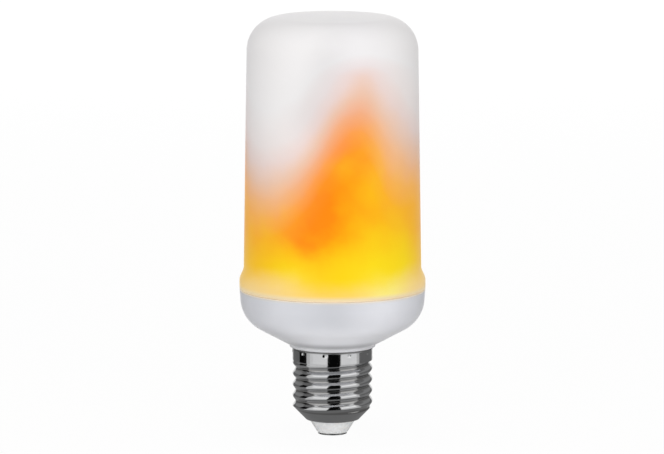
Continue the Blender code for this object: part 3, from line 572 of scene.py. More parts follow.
def apply_modifiers(piece):
    """Leaves the piece as the plain mesh that its modifiers make."""
    bpy.context.view_layer.update()
    graph = bpy.context.evaluated_depsgraph_get()
    mesh = bpy.data.meshes.new_from_object(piece.evaluated_get(graph))
    piece.modifiers.clear()
    piece.data = mesh
    return piece


def give_wall(piece, thickness):
    wall = piece.modifiers.new("Wall", "SOLIDIFY")
    wall.thickness = thickness
    wall.offset = -1.0
    wall.use_even_offset = True
    return apply_modifiers(piece)


def cut(piece, cutter):
    """Takes the cutter's form out of the piece, and removes the cutter."""
    step = piece.modifiers.new("Cut", "BOOLEAN")
    step.operation = "DIFFERENCE"
    step.solver = "EXACT"
    step.object = cutter
    apply_modifiers(piece)
    bpy.data.objects.remove(cutter)


def add_block(form, size, centre):
    made = bmesh.ops.create_cube(form, size=1.0)["verts"]
    bmesh.ops.scale(form, vec=size, verts=made)
    bmesh.ops.translate(form, vec=centre, verts=made)


def block_piece(name, size, centre=(0.0, 0.0, 0.0), bevel=0.0):
    mesh = bpy.data.meshes.new(name)
    form = bmesh.new()
    add_block(form, size, centre)
    if bevel:
        bmesh.ops.bevel(form, geom=form.edges[:], offset=bevel, segments=2, affect="EDGES", profile=0.5)
    form.to_mesh(mesh)
    form.free()
    return add_piece(name, mesh)


def mount(piece, material, slot, *nodes, smooth=True):
    """Gives a finished piece its shading, material and body, and hides the CAD nodes it stands for. The slot
    is not used.
    """
    if smooth:
        piece.data.shade_smooth()
        piece.data.set_sharp_from_angle(angle=SHARP_ANGLE)
    piece.data.materials.clear()
    piece.data.materials.append(material)
    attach(piece, BODY)
    if nodes:
        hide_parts(*nodes)


# Geometry Nodes


class Shape(Tree):
    """A Geometry Nodes group with named inputs, run on a piece and left as a plain mesh."""

    def __init__(self, name):
        super().__init__(bpy.data.node_groups.new(name, "GeometryNodeTree"))
        self.tree.interface.new_socket("Geometry", in_out="OUTPUT", socket_type="NodeSocketGeometry")
        self.source = self.node("NodeGroupInput")
        self.values = {}

    def input(self, name, kind, value):
        """A named input of the group, and the value that the modifier gives it."""
        made = self.tree.interface.new_socket(name, in_out="INPUT", socket_type=kind)
        self.values[made.identifier] = value
        return self.source.outputs[name]

    def size(self, name, value):
        return self.value(self.input(name, "NodeSocketFloat", value))

    def count(self, name, value):
        return self.value(self.input(name, "NodeSocketInt", value))

    def around(self, radius, turn, height):
        return self.join(radius * self.math("COSINE", turn), radius * self.math("SINE", turn), height)

    def copies(self, model, count, place, turn):
        """So many copies of a model, each at its place and turned round the axis."""
        chip = self.input("Chip", "NodeSocketObject", model)
        points = self.out("GeometryNodePoints", {"Count": count})
        placed = self.out("GeometryNodeSetPosition", {"Geometry": points, "Position": place})
        form = self.node("GeometryNodeObjectInfo", {"Object": chip})
        rotation = self.join(0.0, 0.0, turn)
        sockets = {"Points": placed, "Instance": form.outputs["Geometry"], "Rotation": rotation}
        return self.out("GeometryNodeInstanceOnPoints", sockets)

    def run(self, piece_name, geometry):
        """Ends the group, runs it and returns the piece that it makes."""
        material = self.input("Material", "NodeSocketMaterial", None)
        plain = self.out("GeometryNodeRealizeInstances", {0: geometry})
        finished = self.out("GeometryNodeSetMaterial", {"Geometry": plain, "Material": material})
        self.node("NodeGroupOutput", {0: finished})
        piece = add_piece(piece_name, bpy.data.meshes.new(piece_name))
        modifier = piece.modifiers.new("Shape", "NODES")
        modifier.node_group = self.tree
        for identifier, value in self.values.items():
            modifier[identifier] = value
        return apply_modifiers(piece)


def rolled_shell(piece_name):
    """The cap's sheet: a fine grid round the axis that follows the thread, the collar and its dimples."""
    shape = Shape("rolled_shell")
    segments = shape.count("Segments", SHELL_SEGMENTS)
    rows = shape.count("Rows", SHELL_ROWS)
    pitch = shape.size("Pitch", THREAD_PITCH)
    depth = shape.size("Thread Depth", THREAD_DEPTH)
    crest_r = shape.size("Crest Radius", CREST_R)
    collar_r = shape.size("Collar Radius", COLLAR_R)
    hole_r = shape.size("Foot Hole Radius", FOOT_HOLE_R)
    foot = shape.size("Foot Height", SHELL_FOOT)
    bottom = shape.size("Thread Bottom", THREAD_BOTTOM)
    top = shape.size("Thread Top", THREAD_TOP + COLLAR_RAMP)
    rim = shape.size("Rim Height", SHELL_RIM)
    dimples = shape.count("Dimples", DIMPLE_COUNT)
    dimple_r = shape.size("Dimple Radius", DIMPLE_R)
    dimple_depth = shape.size("Dimple Depth", DIMPLE_DEPTH)

    sockets = {"Size X": 1.0, "Size Y": 1.0, "Vertices X": segments + 1, "Vertices Y": rows}
    grid = shape.out("GeometryNodeMeshGrid", sockets)
    across, along, _ = shape.split(shape.out("GeometryNodeInputPosition"))
    turn = (across + 0.5) * math.tau
    share = along + 0.5

    # The first rows make the flat foot and its bend, and the rest climb the cone and the thread
    on_foot = shape.math("MINIMUM", share / FOOT_SHARE, 1.0)
    climb = shape.math("MAXIMUM", (share - FOOT_SHARE) / (1 - FOOT_SHARE), 0.0)
    z = foot + (rim - foot) * climb

    root_r = crest_r - depth
    phase = (z - THREAD_START) / pitch - turn / math.tau
    wave = (0.5 + 0.5 * shape.math("COSINE", phase * math.tau)) ** THREAD_ROUNDNESS
    rise = shape.smooth(z, top - COLLAR_RAMP, top)
    side = shape.math("SMOOTH_MAX", root_r + depth * wave, root_r + (collar_r - root_r) * rise, EDGE_BLEND)
    cone_foot_r = hole_r + FOOT_ROUND
    cone = cone_foot_r + (crest_r - cone_foot_r) * (z - foot) / (bottom - foot)
    wall_r = shape.math("SMOOTH_MIN", cone, side, EDGE_BLEND)

    # Each dimple is pressed round its own centre, spaced evenly round the collar
    sector = math.tau / dimples
    from_first = (turn - DIMPLE_TURN) / sector
    around = (from_first - shape.math("ROUND", from_first)) * sector * collar_r
    height = z - (rim - DIMPLE_DROP)
    reach = shape.math("SQRT", around * around + height * height)
    wall_r = wall_r - dimple_depth * shape.smooth(reach, dimple_r, 0.0)

    radius = hole_r + (wall_r - hole_r) * on_foot
    place = shape.around(radius, turn, z)
    placed = shape.out("GeometryNodeSetPosition", {"Geometry": grid, "Position": place})
    closed = shape.out("GeometryNodeMergeByDistance", {"Geometry": placed, "Distance": WELD})
    return shape.run(piece_name, closed)


def chips_round_tube(piece_name, chip, radius, first_height, pitch):
    """Copies of a chip in rows and columns round the carrier tube, each facing outwards."""
    shape = Shape("chips_round_tube")
    columns = shape.count("Columns", FLEX_CHIP_COLUMNS)
    rows = shape.count("Rows", FLEX_CHIP_ROWS)
    tube_r = shape.size("Radius", radius)
    first = shape.size("First Row Height", first_height)
    row_pitch = shape.size("Row Pitch", pitch)

    index = shape.value(shape.out("GeometryNodeInputIndex"))
    row = shape.math("FLOOR", (index + 0.5) / columns)
    column = index - row * columns
    turn = math.pi / 2 + (column + 0.5) * math.tau / columns
    place = shape.around(tube_r, turn, first + row * row_pitch)
    return shape.run(piece_name, shape.copies(chip, columns * rows, place, turn))


def chips_on_disc(piece_name, chip, radius, height):
    """One chip in the middle of the top board, and the rest on a circle round it."""
    shape = Shape("chips_on_disc")
    count = shape.count("Chips on Circle", TOP_CHIP_COUNT)
    circle_r = shape.size("Circle Radius", radius)
    level = shape.size("Height", height)

    index = shape.value(shape.out("GeometryNodeInputIndex"))
    turn = index * math.tau / count
    off_centre = circle_r * shape.math("MINIMUM", count - index, 1.0)
    place = shape.around(off_centre, turn, level)
    return shape.run(piece_name, shape.copies(chip, count + 1, place, turn))


# Finishes of the outside


def tongue(finish, azimuth_deg, width_deg, lean=0.0):
    """A smooth bump round the axis, 1 at this azimuth. A lean in radians moves it round with the height."""
    turn = math.radians(azimuth_deg)
    sine, cosine = math.sin(turn), math.cos(turn)
    if lean:
        sine = finish.math("SINE", lean + turn)
        cosine = finish.math("COSINE", lean + turn)
    radius = finish.math("MAXIMUM", finish.radius(), WELD)
    facing = (finish.x * sine - finish.y * cosine) / radius
    sharpness = 2 / math.radians(width_deg) ** 2
    return finish.math("EXPONENT", (facing - 1) * sharpness)


def tongues(finish, rows, lean=0.0):
    """The sum of the bumps in (azimuth, width, strength) rows."""
    total = 0.0
    for azimuth, width, strength in rows:
        total = strength * tongue(finish, azimuth, width, lean) + total
    return total


def frosted_flame():
    """Frosted wall lit from inside: tongues of flame, orange at their edges and yellow at the foot."""
    finish = Finish("frosted_flame")
    drift = finish.noise(60.0, 1.0) - 0.5
    patches = finish.noise(150.0) - 0.5
    z = finish.z + drift * DRIFT + patches * PATCH_DRIFT

    # How far a point lies below the flame's edge, and how softly the flame ends there
    edge = tongues(finish, FLAME_TONGUES) + FLAME_EDGE
    soft = tongues(finish, SOFTER_SIDES) + 1
    depth = (edge - z) / soft - CROWN_CUT * finish.rise(*CROWN_FADE)
    share = depth / FLAME_REACH + 0.5

    # Deep orange runs down the middle of each tongue, and amber lies beside it
    ember = tongues(finish, EMBERS, (z - EMBER_UPRIGHT) * EMBER_LEAN)
    ember = ember * finish.smooth(z, *EMBER_FADE)
    for azimuth, width, height, reach, strength in BRIGHT_SPOTS:
        away = (z - height) / reach
        ember = ember - strength * tongue(finish, azimuth, width) * finish.math("EXPONENT", away * away * -1)
    ember = finish.math("MAXIMUM", ember + patches * 0.5, 0.0)
    ember = finish.math("MINIMUM", ember, 1.0)
    flame = finish.mix(ember, finish.ramp(share, AMBER_FLAME), finish.ramp(share, EMBER_FLAME))

    # The yellow core climbs higher on one side of each tongue
    beside = tongues(finish, YELLOW_SIDES)
    core_top = CORE_TOP + CORE_CLIMB * beside + tongues(finish, CORE_HUMPS)
    core = finish.smooth(z, core_top, CORE_FOOT) * finish.smooth(depth, 0.0, CORE_EDGE)
    lemon_share = beside + tongues(finish, LEMON_PATCHES) + LEMON_LEAST
    lemon_share = finish.math("MINIMUM", lemon_share, 1.0)
    gold = finish.mix(lemon_share, ink(253, 194, 26), ink(253, 222, 18))
    flame = finish.mix(core, flame, gold)

    # The skirt lies below the lit boards, so its light is paler
    middle = finish.math("MINIMUM", tongues(finish, SKIRT_MIDDLES), 1.0)
    skirt = finish.mix(middle, ink(251, 218, 152), ink(253, 213, 104))
    skirt = finish.mix(tongues(finish, SKIRT_GLINT), skirt, ink(253, 238, 138))
    on_side = finish.smooth(z, *SKIRT_SIDE_FADE) * (1 - middle)
    on_middle = finish.smooth(z, *SKIRT_MIDDLE_FADE) * middle
    flame = finish.mix(on_side + on_middle, flame, skirt)
    near_seam = finish.rise(SKIRT_FOOT + SEAM_FADE, SKIRT_FOOT)
    # The seam's gap is painted pale and glows more strongly: painted light that lifts its shade
    painted_seam_light = finish.rise(SKIRT_FOOT, SKIRT_FOOT - SEAM_LINE)
    flame = finish.mix(near_seam, flame, ink(240, 220, 182))
    flame = finish.mix(painted_seam_light, flame, ink(250, 240, 224))

    smoke = tongues(finish, SMOKE, (z - SMOKE_UPRIGHT) * SMOKE_LEAN)
    smoke = smoke * finish.smooth(z, *SMOKE_FOOT_FADE) * finish.smooth(z, *SMOKE_HEAD_FADE)
    colour = finish.scaled(flame, 1 - SMOKE_DEPTH * smoke)
    lit = finish.smooth(depth, -GLOW_EDGE, GLOW_EDGE)
    grain = finish.noise(4200.0)
    # The flame's light is painted into the base colour, and only GLOW_SHARE of it is given out as emission
    return finish.set(
        Base_Color=finish.scaled(colour, 1 - GLOW_SHARE * lit),
        Emission_Color=finish.scaled(colour, lit + PAINTED_SEAM_GLOW * painted_seam_light),
        Emission_Strength=GLOW_SHARE,
        Roughness=0.46 + 0.10 * finish.noise(900.0),
        Specular_IOR_Level=0.06,
        Sheen_Weight=0.35,
        Sheen_Roughness=0.35,
        Normal=finish.bump(grain, 0.00002, 0.35),
    )


def satin_housing():
    """Cool white moulding with a fine satin grain, with painted light and shade: a lighter right side and
    slope, darker front and flanks, a painted shadow above the lip, and the globe's light painted and glowing
    on its rim.
    """
    finish = Finish("satin_housing")
    clouds = finish.noise(90.0, 3.0)
    # Random clouds of tone, plus painted light on the right side
    light = clouds * LIGHT_CLOUDS + tongues(finish, PAINTED_LIGHT_SIDE)
    base = finish.mix(light, ink(207, 209, 215), ink(228, 229, 235))
    # Painted shade on the bowl's front and on two other sides
    dark = tongues(finish, PAINTED_SHADE_SIDES) * finish.rise(*PAINTED_SHADE_FADE)
    base = finish.mix(dark, base, ink(200, 202, 208))
    # Painted light on the bowl's underside, with painted shade on its flanks
    slope = finish.mix(tongues(finish, PAINTED_SHADE_FLANKS), ink(236, 237, 242), ink(200, 201, 206))
    base = finish.mix(finish.rise(*PAINTED_SLOPE_FADE), base, slope)
    # A painted shadow round the lip's foot
    base = finish.mix(finish.rise(*PAINTED_LIP_SHADOW_FADE), base, ink(166, 167, 171))
    base = finish.mix(finish.rise(*LIP_FADE), base, ink(207, 208, 211))
    # The globe's light painted on the housing's rim
    base = finish.mix(finish.rise(*PAINTED_RIM_LIGHT_FADE) * PAINTED_RIM_LIGHT_SHARE, base, ink(220, 211, 196))
    # The housing's top edge glows: painted light from the globe
    painted_glow = finish.rise(*PAINTED_GLOW_FADE)
    grain = finish.noise(2600.0, 3.0)
    return finish.set(
        Base_Color=base,
        Roughness=0.34 + 0.12 * finish.noise(700.0),
        Specular_IOR_Level=0.4,
        Sheen_Weight=0.3,
        Sheen_Roughness=0.4,
        Emission_Color=finish.mix(painted_glow, ink(0, 0, 0), ink(250, 226, 186)),
        Emission_Strength=PAINTED_GLOW_STRENGTH,
        Normal=finish.bump(grain, 0.00002, 0.3),
    )


def nickel_plate():
    """Bright plated sheet, duller and with painted shade in the thread's roots, and a painted shadow under
    the housing's lip.
    """
    finish = Finish("nickel_plate")
    radius = finish.radius()
    off_root = finish.smooth(radius, *ROOT_BAND)
    on_thread = finish.rise(*THREAD_FADE) * finish.smooth(radius, *INNER_BAND)
    marks = finish.noise(1.0, 4.0, 0.6, finish.stretched(350.0, 5200.0))
    clouds = finish.noise(260.0, 3.0)
    shine = finish.mix(clouds, ink(176, 177, 179), ink(188, 188, 188))
    # The roots are duller and carry painted shade
    dull_and_shaded_roots = (1 - off_root) * on_thread
    base = finish.mix(dull_and_shaded_roots * 0.7, shine, ink(128, 127, 125))
    # A painted shadow under the housing's lip, where the sheet is also rougher
    painted_shadow_under_lip = finish.rise(*PAINTED_UNDER_LIP_SHADOW_FADE)
    base = finish.mix(painted_shadow_under_lip * 0.8, base, ink(122, 122, 122))
    roughness = 0.05 + 0.05 * clouds + 0.03 * marks + 0.06 * dull_and_shaded_roots + 0.4 * painted_shadow_under_lip
    return finish.set(
        Base_Color=base,
        Metallic=1.0,
        Roughness=roughness,
        Normal=finish.bump(marks, 0.00001, 0.25),
    )


def pale_insulator():
    """Milky translucent moulding, slightly cloudy."""
    finish = Finish("pale_insulator")
    clouds = finish.noise(420.0, 3.0)
    base = finish.mix(clouds, ink(246, 247, 247), ink(252, 252, 252))
    base = finish.mix(finish.rise(*CONE_FADE) * 0.2, base, ink(190, 192, 192))
    return finish.set(
        Base_Color=base,
        Roughness=0.22 + 0.10 * clouds,
        Subsurface_Weight=0.35,
        Subsurface_Radius=(0.8, 0.85, 0.9),
        Subsurface_Scale=0.002,
        Normal=finish.bump(finish.noise(1500.0), 0.00002, 0.2),
    )


# Finishes of the inside


def grained_plastic(name, dark, light, roughness, gloss=0.3):
    """Moulded or coated plastic with clouds of colour and a fine grain."""
    finish = Finish(name)
    clouds = finish.noise(300.0, 3.0)
    grain = finish.noise(2400.0, 3.0)
    return finish.set(
        Base_Color=finish.mix(clouds, dark, light),
        Roughness=roughness + 0.12 * grain,
        Specular_IOR_Level=gloss,
        Normal=finish.bump(grain, 0.00003, 0.3),
    )


def wire_metal(name, dark, light, roughness):
    finish = Finish(name)
    streaks = finish.noise(1.0, 3.0, place=finish.stretched(2000.0, 300.0))
    return finish.set(
        Base_Color=finish.mix(streaks, dark, light),
        Metallic=1.0,
        Roughness=roughness + 0.15 * streaks,
        Normal=finish.bump(streaks, 0.00001, 0.2),
    )


def board_mask(name, dark, light, trace_pitch):
    """Solder mask over copper: fine tracks show as slightly raised, lighter lines."""
    finish = Finish(name)
    bend = finish.noise(160.0, 1.0)
    lines = finish.math("SINE", (finish.z + bend * 0.004) * (math.tau / trace_pitch))
    tracks = finish.smooth(lines, 0.55, 0.75)
    clouds = finish.noise(500.0)
    base = finish.mix(tracks * 0.6 + clouds * 0.2, dark, light)
    return finish.set(
        Base_Color=base,
        Roughness=0.30 + 0.15 * clouds,
        Specular_IOR_Level=0.5,
        Normal=finish.bump(tracks, 0.00004, 0.5),
    )


def can_sleeve(foot, head):
    """Shrunk sleeve with a pale stripe down one side. The can's bare top shows at its head."""
    finish = Finish(f"can_sleeve_{round(1000 * head)}")
    stripe = finish.smooth(finish.y, -0.0032, -0.0036)
    wrinkles = finish.noise(1.0, 3.0, place=finish.stretched(250.0, 900.0))
    sleeve = finish.mix(stripe * 0.8, ink(24, 26, 32), ink(150, 152, 158))
    bare = finish.rise(head - 0.0002, head - 0.00005)
    base = finish.mix(bare, sleeve, ink(190, 191, 192))
    groove = finish.rise(foot + 0.0022, foot + 0.0018)
    return finish.set(
        Base_Color=base,
        Metallic=bare,
        Roughness=0.28 + 0.15 * wrinkles,
        Coat_Weight=0.2 * groove,
        Normal=finish.bump(wrinkles, 0.00004, 0.3),
    )


def wound_ferrite(foot, head):
    """Dark core flanges with rows of lacquered copper wire between them."""
    finish = Finish("wound_ferrite")
    inside = finish.rise(foot + 0.0011, foot + 0.0013)
    inside = inside * finish.rise(head - 0.0011, head - 0.0013)
    rows = finish.math("SINE", finish.z * (math.tau / 0.00045)) * 0.5 + 0.5
    grain = finish.noise(1500.0, 3.0)
    core = finish.mix(grain, ink(38, 36, 36), ink(62, 59, 58))
    wire = finish.mix(rows, ink(118, 58, 28), ink(206, 120, 66))
    return finish.set(
        Base_Color=finish.mix(inside, core, wire),
        Metallic=inside * 0.85,
        Roughness=0.62 - 0.32 * inside,
        Normal=finish.bump(rows * inside + grain * 0.1, 0.0001, 0.6),
    )


def banded_resistor(foot, head):
    """Pale coat with four plain colour bands round it."""
    finish = Finish("banded_resistor")
    grain = finish.noise(1200.0)
    base = finish.mix(grain, ink(112, 146, 160), ink(136, 168, 180))
    brown, black, gold = ink(110, 60, 30), ink(20, 20, 22), ink(190, 150, 50)
    for shift, colour in ((-0.0022, brown), (-0.0008, black), (0.0006, black), (0.0021, gold)):
        away = finish.math("ABSOLUTE", finish.z - ((foot + head) / 2 + shift))
        base = finish.mix(finish.smooth(away, 0.00042, 0.00034), base, colour)
    return finish.set(Base_Color=base, Roughness=0.4 + 0.1 * grain, Normal=finish.bump(grain, 0.00003, 0.3))


def lit_phosphor():
    """A chip's yellow window, which glows."""
    finish = Finish("lit_phosphor")
    grain = finish.noise(1800.0)
    colour = finish.mix(grain, ink(250, 176, 40), ink(255, 204, 70))
    return finish.set(
        Base_Color=colour,
        Emission_Color=colour,
        Emission_Strength=0.8,
        Roughness=0.35 + 0.1 * grain,
        Normal=finish.bump(grain, 0.00002, 0.2),
    )


# Pieces of the outside


def make_globe():
    flat_r = GLOBE_TOP_R - GLOBE_CORNER
    corner_z = GLOBE_TOP - GLOBE_CROWN - GLOBE_CORNER
    outline = []
    crown_rings = 12
    for i in range(crown_rings):
        out = i / crown_rings
        outline.append((flat_r * out, GLOBE_TOP - GLOBE_CROWN * out**2))
    outline += arc(flat_r, corner_z, GLOBE_CORNER, 88, 1, CORNER_STEPS)
    straight_rings = 40
    top_r, top_z = outline[-1]
    for i in range(1, straight_rings):
        share = i / straight_rings
        outline.append((top_r + (GLOBE_FOOT_R - top_r) * share, top_z + (SKIRT_TOP - top_z) * share))
    shoulder_rings = 16
    for i in range(shoulder_rings + 1):
        share = i / shoulder_rings
        blend = share * share * (3 - 2 * share)
        radius = GLOBE_FOOT_R + (SKIRT_R - GLOBE_FOOT_R) * blend
        outline.append((radius, SKIRT_TOP - SHOULDER_HEIGHT * share))
    foot = [
        (SKIRT_R, SKIRT_TOP - SHOULDER_HEIGHT),
        (SKIRT_R, SKIRT_FOOT, SOFT_EDGE),
        (SPIGOT_R, SKIRT_FOOT, FINE_EDGE),
        (SPIGOT_R, SPIGOT_FOOT),
    ]
    outline += filleted(foot)[1:]
    globe = give_wall(turned_piece("frosted_globe", outline), GLOBE_WALL)
    mount(globe, frosted_flame(), "globe", "diffuser_globe")


def bowl_arc(wall):
    """The bowl's rounded side from its rim down to its slope, moved inwards by a wall."""
    rise = math.tan(BOWL_SLOPE)
    left = BOWL_HEIGHT - LIP_HEIGHT - BOWL_RIM - (BOWL_R - BOWL_NECK_R) * rise
    bowl_round = left / (math.cos(BOWL_SLOPE) - rise * (1 - math.sin(BOWL_SLOPE)))
    foot_turn = math.degrees(BOWL_SLOPE) - 90
    return arc(BOWL_R - bowl_round, HOUSING_TOP - BOWL_RIM, bowl_round - wall, 0, foot_turn, CORNER_STEPS)


def make_housing():
    wall_r = BOWL_WALL * math.sin(BOWL_SLOPE)
    wall_z = BOWL_WALL * math.cos(BOWL_SLOPE)
    entry_z = LIP_TOP + wall_z - (BOWL_NECK_R - wall_r - NECK_BORE_R) * math.tan(BOWL_SLOPE)
    corners = [(BOWL_BORE_R, HOUSING_TOP, SOFT_EDGE), (SKIRT_R, HOUSING_TOP, ROUND_EDGE)]
    corners += bowl_arc(0.0)
    corners += [
        (BOWL_NECK_R, LIP_TOP, BOWL_BLEND),
        (LIP_R, LIP_TOP, FINE_EDGE),
        (LIP_R, LIP_FOOT, SOFT_EDGE),
        (NECK_R, LIP_FOOT),
        (NECK_R, NECK_FOOT, SOFT_EDGE),
        (NECK_BORE_R, NECK_FOOT, SOFT_EDGE),
        (NECK_BORE_R, entry_z, ENTRY_ROUND),
    ]
    corners += reversed(bowl_arc(BOWL_WALL))
    housing = turned_piece("satin_bowl", filleted(corners, closed=True), closed=True)

    groove_top = NECK_FOOT + GROOVE_RISE
    size = (2 * GROOVE_DEPTH, GROOVE_WIDTH, groove_top - NECK_FOOT + 2 * GAP)
    centre = (NECK_R, 0.0, (groove_top + NECK_FOOT - 2 * GAP) / 2)
    cut(housing, block_piece("wire_groove", size, centre))

    form = bmesh.new()
    form.from_mesh(housing.data)
    for side in (-1, 1):
        for face in (-1, 1):
            size = (RAIL_REACH + GAP, RAIL_THICKNESS, RAIL_LENGTH)
            centre = (
                side * (NECK_BORE_R + GAP - size[0] / 2),
                face * (BOARD_FACE + GAP + RAIL_THICKNESS / 2),
                LIP_FOOT - RAIL_LENGTH / 2,
            )
            add_block(form, size, centre)
    post_top = HOUSING_TOP - PLATE_DROP - GAP
    bore_foot = post_top - POST_BORE
    profile = [
        (0.0, bore_foot),
        (POST_BORE_R, bore_foot),
        (POST_BORE_R, post_top),
        (POST_R, post_top),
        (POST_R, LIP_TOP),
        (0.0, LIP_TOP),
    ]
    for i in range(POST_COUNT):
        turn = POST_TURN + math.tau * i / POST_COUNT
        post = lathe("post", profile, SMALL_SEGMENTS // 2)
        move = Vector((POST_CIRCLE_R * math.cos(turn), POST_CIRCLE_R * math.sin(turn), 0.0))
        for vertex in post.vertices:
            vertex.co += move
            if vertex.co.z < bore_foot - GAP:
                reach = math.hypot(vertex.co.x, vertex.co.y) - BOWL_NECK_R
                vertex.co.z = LIP_TOP + reach * math.tan(BOWL_SLOPE) + BOWL_WALL / 2
        form.from_mesh(post)
        bpy.data.meshes.remove(post)
    form.to_mesh(housing.data)
    form.free()
    mount(housing, satin_housing(), "housing", "base_housing")


def make_cap(plate):
    shell = give_wall(rolled_shell("threaded_shell"), SHELL_WALL)
    mount(shell, plate, "cap_metal", "screw_shell")

    neck_r = FOOT_HOLE_R - GAP
    flange_foot = SHELL_FOOT + SHELL_WALL + GAP
    flange_top = flange_foot + INSULATOR_FLANGE
    hole_r = RIVET_R + GAP
    corners = [
        (hole_r, flange_top),
        (INSULATOR_FLANGE_R, flange_top, ROUND_EDGE),
        (INSULATOR_FLANGE_R, flange_foot, SOFT_EDGE),
        (neck_r, flange_foot),
        (neck_r, SHELL_FOOT - GAP, SOFT_EDGE),
        (INSULATOR_FOOT_R, INSULATOR_FOOT + CONTACT_RIM, SOFT_EDGE),
        (INSULATOR_FOOT_R - CONTACT_RIM, INSULATOR_FOOT, FINE_EDGE),
        (hole_r, INSULATOR_FOOT),
    ]
    cone = turned_piece("insulator_cone", filleted(corners), SMALL_SEGMENTS, closed=True)
    mount(cone, pale_insulator(), "insulator", "cap_insulator")

    head_foot = flange_top + GAP
    head = [
        (0.0, head_foot + RIVET_HEAD_HEIGHT),
        (RIVET_HEAD_R, head_foot + RIVET_HEAD_HEIGHT, SOFT_EDGE),
        (RIVET_HEAD_R, head_foot),
        (RIVET_R, head_foot),
        (RIVET_R, CONTACT_TOP),
        (CONTACT_R, CONTACT_TOP, FINE_EDGE),
        (CONTACT_R, CONTACT_DOME),
    ]
    profile = filleted(head)
    dome_rings = 14
    for i in range(1, dome_rings + 1):
        out = 1 - i / dome_rings
        profile.append((CONTACT_R * out, CONTACT_DOME * out**CONTACT_BELLY))
    eyelet = turned_piece("contact_eyelet", profile, SMALL_SEGMENTS)
    mount(eyelet, plate, "cap_metal", "centre_contact")


# Pieces of the inside


def spread(name, size, bevel, material, copy, *places):
    """Makes one block, spreads its copies over a board and removes the block."""
    model = block_piece(f"{name}_model", size, bevel=bevel)
    mount(copy(name, model, *places), material, "led_board", smooth=False)
    bpy.data.objects.remove(model)


def make_lit_boards(phosphor):
    """The wrapped board and the top board, each with its chips and the chips' windows."""
    mask = board_mask("white_mask", ink(226, 226, 220), ink(240, 240, 236), 0.002)
    frame_white = grained_plastic("chip_frame", ink(228, 228, 224), ink(244, 244, 240), 0.3)
    depth = CHIP_THICKNESS + CHIP_SINK
    window_height = CHIP_HEIGHT - CHIP_WIDTH + CHIP_WINDOW

    low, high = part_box("flame_led_board")
    inner_r = FLEX_R - FLEX_THICKNESS
    profile = [(inner_r, high.z), (FLEX_R, high.z), (FLEX_R, low.z), (inner_r, low.z)]
    wrap = turned_piece("wrapped_board", profile, closed=True)
    size = (FLEX_SEAM, 4 * GAP + 4 * FLEX_THICKNESS, high.z - low.z + 2 * GAP)
    centre = (0.0, FLEX_R, (low.z + high.z) / 2)
    cut(wrap, block_piece("seam_cut", size, centre))
    mount(wrap, mask, "led_board", "flame_led_board")
    first = low.z + FLEX_CHIP_MARGIN
    pitch = (high.z - low.z - 2 * FLEX_CHIP_MARGIN) / (FLEX_CHIP_ROWS - 1)
    rows = (chips_round_tube, FLEX_R - CHIP_SINK + depth / 2, first, pitch)
    spread("flame_chips", (depth, CHIP_WIDTH, CHIP_HEIGHT), CHIP_EDGE, frame_white, *rows)
    rows = (chips_round_tube, FLEX_R + CHIP_THICKNESS, first, pitch)
    spread("flame_windows", (WINDOW_THICKNESS, CHIP_WINDOW, window_height), 0.0, phosphor, *rows)

    low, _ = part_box("top_led_board")
    head = low.z + TOP_BOARD_THICKNESS
    edges = [(TOP_BOARD_R, head, FINE_EDGE), (TOP_BOARD_R, low.z, FINE_EDGE)]
    profile = filleted([(0.0, head), *edges, (0.0, low.z)])
    disc = turned_piece("top_disc", profile, SMALL_SEGMENTS)
    mount(disc, mask, "led_board", "top_led_board")
    ring = (chips_on_disc, TOP_CHIP_CIRCLE_R, head - CHIP_SINK + depth / 2)
    spread("top_chips", (CHIP_WIDTH, CHIP_HEIGHT, depth), CHIP_EDGE, frame_white, *ring)
    ring = (chips_on_disc, TOP_CHIP_CIRCLE_R, head + CHIP_THICKNESS)
    spread("top_windows", (CHIP_WINDOW, window_height, WINDOW_THICKNESS), 0.0, phosphor, *ring)


def dress_inner_nodes(frame):
    """Better finishes on the CAD nodes that stay as they are."""
    white = grained_plastic("inner_white", ink(214, 215, 218), ink(228, 229, 231), 0.42)
    black = grained_plastic("moulded_black", ink(22, 22, 24), ink(40, 40, 42), 0.42)
    red_wire = grained_plastic("red_silicone", ink(168, 26, 20), ink(196, 40, 30), 0.38, 0.5)
    black_wire = grained_plastic("black_silicone", ink(20, 20, 22), ink(38, 38, 40), 0.38, 0.5)
    film_case = grained_plastic("film_dip", ink(150, 58, 30), ink(180, 78, 42), 0.26, 0.5)
    laminate = board_mask("green_laminate", ink(18, 84, 40), ink(40, 122, 62), 0.0016)
    tinned = wire_metal("tinned_copper", ink(176, 172, 164), ink(214, 211, 204), 0.24)
    steel = wire_metal("zinc_steel", ink(150, 152, 156), ink(196, 198, 202), 0.26)
    finishes = [
        (white, ("mounting_plate", "led_carrier_tube")),
        (black, ("flame_control_chip", "bridge_rectifier", "driver_chip")),
        (laminate, ("driver_board",)),
        (film_case, ("film_capacitor",)),
        (red_wire, ("live_wire", "led_wire_positive")),
        (black_wire, ("led_wire_negative",)),
        (tinned, ("neutral_wire",)),
        (steel, ("plate_screw_1", "plate_screw_2", "plate_screw_3", "carrier_screw_1", "carrier_screw_2")),
    ]
    fitted = (
        ("input_capacitor", can_sleeve),
        ("output_capacitor", can_sleeve),
        ("power_inductor", wound_ferrite),
        ("fusible_resistor", banded_resistor),
    )
    for name, make_finish in fitted:
        low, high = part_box(name)
        finishes.append((make_finish(low.z, high.z), (name,)))
    for material, names in finishes:
        for name in names:
            for slot in frame["nodes"][name].material_slots:
                slot.material = material


# Stage


def shown_to_mirrors(tree):
    """1 for camera, glossy and transmission rays, and 0 for the rest."""
    path = tree.node("ShaderNodeLightPath")
    seen = tree.math("MAXIMUM", path.outputs["Is Camera Ray"], path.outputs["Is Glossy Ray"])
    return tree.math("MAXIMUM", seen, path.outputs["Is Transmission Ray"])


